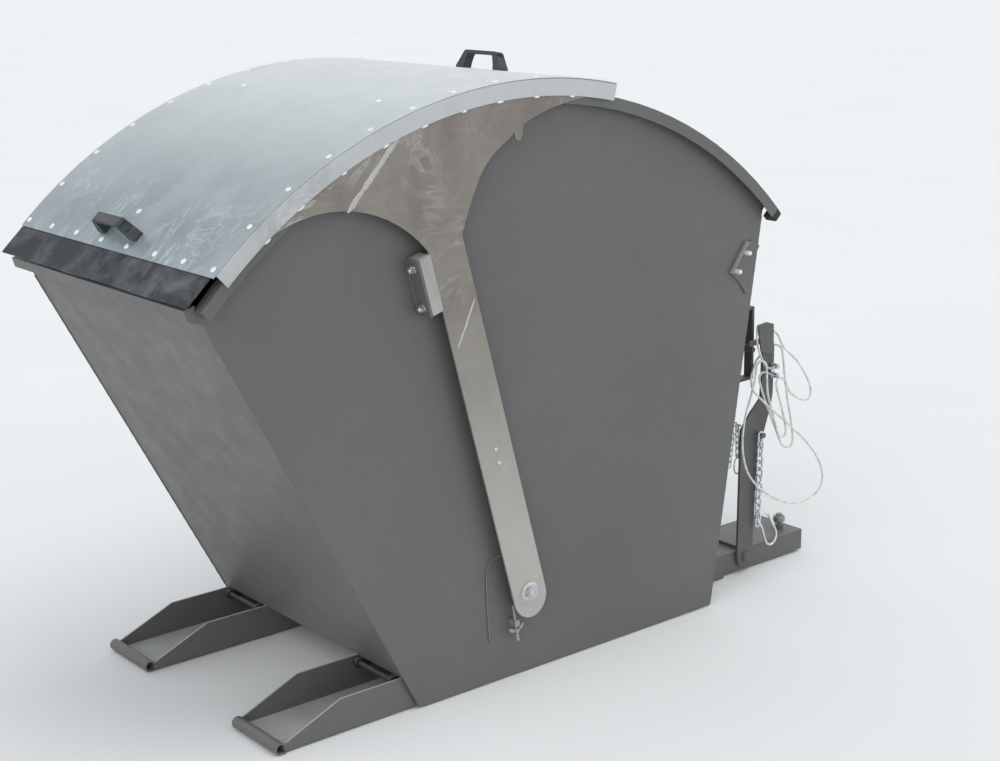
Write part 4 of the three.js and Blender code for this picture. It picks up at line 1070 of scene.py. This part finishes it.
# ------------------------------------------------------------------ painted welds
bm = bmesh.new()
for s in (1, -1):
    # corner seams of the hopper, front and rear
    bead(bm, [(s * 397.6, front_y(z) - 0.4, z) for z in (8, 260, 520, 780, 1010)], 2.0)
    bead(bm, [(s * 397.6, rear_y(z) + 0.4, z) for z in (8, 300, 600, 900, 1046)], 2.0)
    # floor to plates, under the hopper
    bead(bm, [(s * 394.2, y, 87.4) for y in (366, 700, 1050, 1405)], 2.4)
    # front stop bracket, rear stop flank, pivot boss
    for p in (-91.4, -84.0):
        bead(bm, [(s * 401.6, *arm(v, p)) for v in (784, 850, 920)], 2.2)
    bead(bm, [(s * 401.4, *rp(u, n)) for u, n in ((124, 66), (127, 99), (36, 106), (26, 108))], 1.7)
    bead(bm, [(s * 401.6, PIV[0] + 31.2 * math.cos(t * math.pi / 12), PIV[1] + 31.2 * math.sin(t * math.pi / 12)) for t in range(25)], 2.4)
    # rim to plate, underneath
    bead(bm, [(s * 401.2, *polar(1199.0, a)) for a in (45, 60, 75, 90, 105, 120, 135.6)], 2.0)
obj_of("hopper_welds", bm, WELD, "bin", 60, False)

bm = bmesh.new()
for z in (562, 760):
    y = rear_y(z)
    for x in (242.6, 273.4):
        bead(bm, [(x, y + 1.4, z - 5), (x, y + 1.8, z + 5)], 2.4)
    bead(bm, [(244, y + 1.6, z + (6.5 if z > 700 else -6.5)), (272, y + 1.6, z + (6.5 if z > 700 else -6.5))], 2.4)
obj_of("striker_welds", bm, WELD, "bin", 60, False)

bm = bmesh.new()
for s in (1, -1):
    x0, x1 = (102, 276) if s > 0 else (-276, -102)
    # sleeve to pocket, up both sides and across the top
    bead(bm, [(x0 + 4, 1579.6, 6.4), (x0, 1579.6, 12), (x0, 1579.6, 60), (x0 + 5, 1579.6, 66), (x1 - 5, 1579.6, 66), (x1, 1579.6, 60), (x1, 1579.6, 12), (x1 - 4, 1579.6, 6.4)], 2.8)
    # strap to sleeves
    for y in (1647.6, 1690.4):
        bead(bm, [(x0 + 5, y, 67.0), ((x0 + x1) / 2, y, 67.0), (min(x1, 270) - 1 if s > 0 else x1 - 5, y, 67.0)] if s > 0 else [(max(x0, -270) + 1, y, 67.0), ((x0 + x1) / 2, y, 67.0), (x1 - 5, y, 67.0)], 2.4)
    # runner to cross beam and pocket to cross beam
    r0, r1 = (203, 388) if s > 0 else (-388, -203)
    for x in (r0, r1):
        bead(bm, [(x, 999.6, 9), (x, 999.6, 84)], 2.6)
    p0, p1 = (92, 286) if s > 0 else (-286, -92)
    for x in (p0, p1):
        bead(bm, [(x, 1081.2, 5), (x, 1081.2, 69)], 2.6)
    # tube to channel: along the floor and up both sides
    bead(bm, [(r0 + 6, 30.6, 6.4), ((r0 + r1) / 2, 30.6, 6.4), (r1 - 6, 30.6, 6.4)], 3.0)
    for x in (r0 + 2.5, r1 - 2.5):
        bead(bm, [(x, 29.4, 6), (x, 28.6, 24)], 2.4)
    # lock screw boss on the sleeve
    bead(bm, [(s * 230 + 13.6 * math.cos(t * math.pi / 10), 1868 + 13.6 * math.sin(t * math.pi / 10), 66.6) for t in range(21)], 2.0)
obj_of("base_welds", bm, WELD, "base", 60, False)

# ------------------------------------------------------------------ floor and light
bm = bmesh.new()
bmesh.ops.create_grid(bm, x_segments=1, y_segments=1, size=95)
me = bpy.data.meshes.new("floor")
bm.to_mesh(me)
bm.free()
floor = bpy.data.objects.new("floor", me)
floor.location = (0, 0, -0.0012)
COL.objects.link(floor)
fm = Mat("floor")
fm.put(fm.mix(fm.rng(fm.noise(0.8, 2), 0.3, 0.7, 0, 1), (0.85, 0.85, 0.85, 1), (0.87, 0.87, 0.87, 1)), 0.8, None, 0.0, 0.1)
me.materials.append(fm.m)

world = bpy.data.worlds.new("world")
world.use_nodes = True
wt = world.node_tree
wt.nodes.clear()
wo, wb, wc, ws, wr = [wt.nodes.new(k) for k in ("ShaderNodeOutputWorld", "ShaderNodeBackground", "ShaderNodeTexCoord", "ShaderNodeSeparateXYZ", "ShaderNodeValToRGB")]
wt.links.new(wc.outputs["Generated"], ws.inputs[0])
mr = wt.nodes.new("ShaderNodeMapRange")
mr.inputs[1].default_value, mr.inputs[2].default_value = -1, 1
wt.links.new(ws.outputs[2], mr.inputs[0])
wt.links.new(mr.outputs[0], wr.inputs[0])
e = wr.color_ramp.elements
e[0].position, e[0].color = 0.46, (0.86, 0.865, 0.87, 1)
e[1].position, e[1].color = 0.52, (1.0, 1.0, 1.0, 1)
for pos, c in ((0.60, (1.20, 1.20, 1.19)), (0.69, (1.22, 1.23, 1.23)), (0.77, (0.72, 0.76, 0.78)), (0.83, (0.38, 0.43, 0.47)), (0.93, (0.70, 0.73, 0.75))):
    x = e.new(pos)
    x.color = (*c, 1)
wt.links.new(wr.outputs[0], wb.inputs[0])
wb.inputs[1].default_value = 0.92
wt.links.new(wb.outputs[0], wo.inputs[0])
bpy.context.scene.world = world


def sun(name, toward, power, spread, col=(1, 1, 1)):
    """Wide soft light from one side, the same all over the floor."""
    L = bpy.data.lights.new(name, "SUN")
    L.energy, L.angle, L.color = power, rad(spread), col
    o = bpy.data.objects.new(name, L)
    COL.objects.link(o)
    o.location = (0, 0, 4)
    o.rotation_euler = Vector(toward).to_track_quat("Z", "Y").to_euler()
    return o


sun("top", (0.22, 0.30, 1.0), 0.75, 45, (0.99, 1.0, 1.0))
sun("front", (0.38, -0.85, 0.52), 0.68, 60, (0.98, 0.99, 1.0))
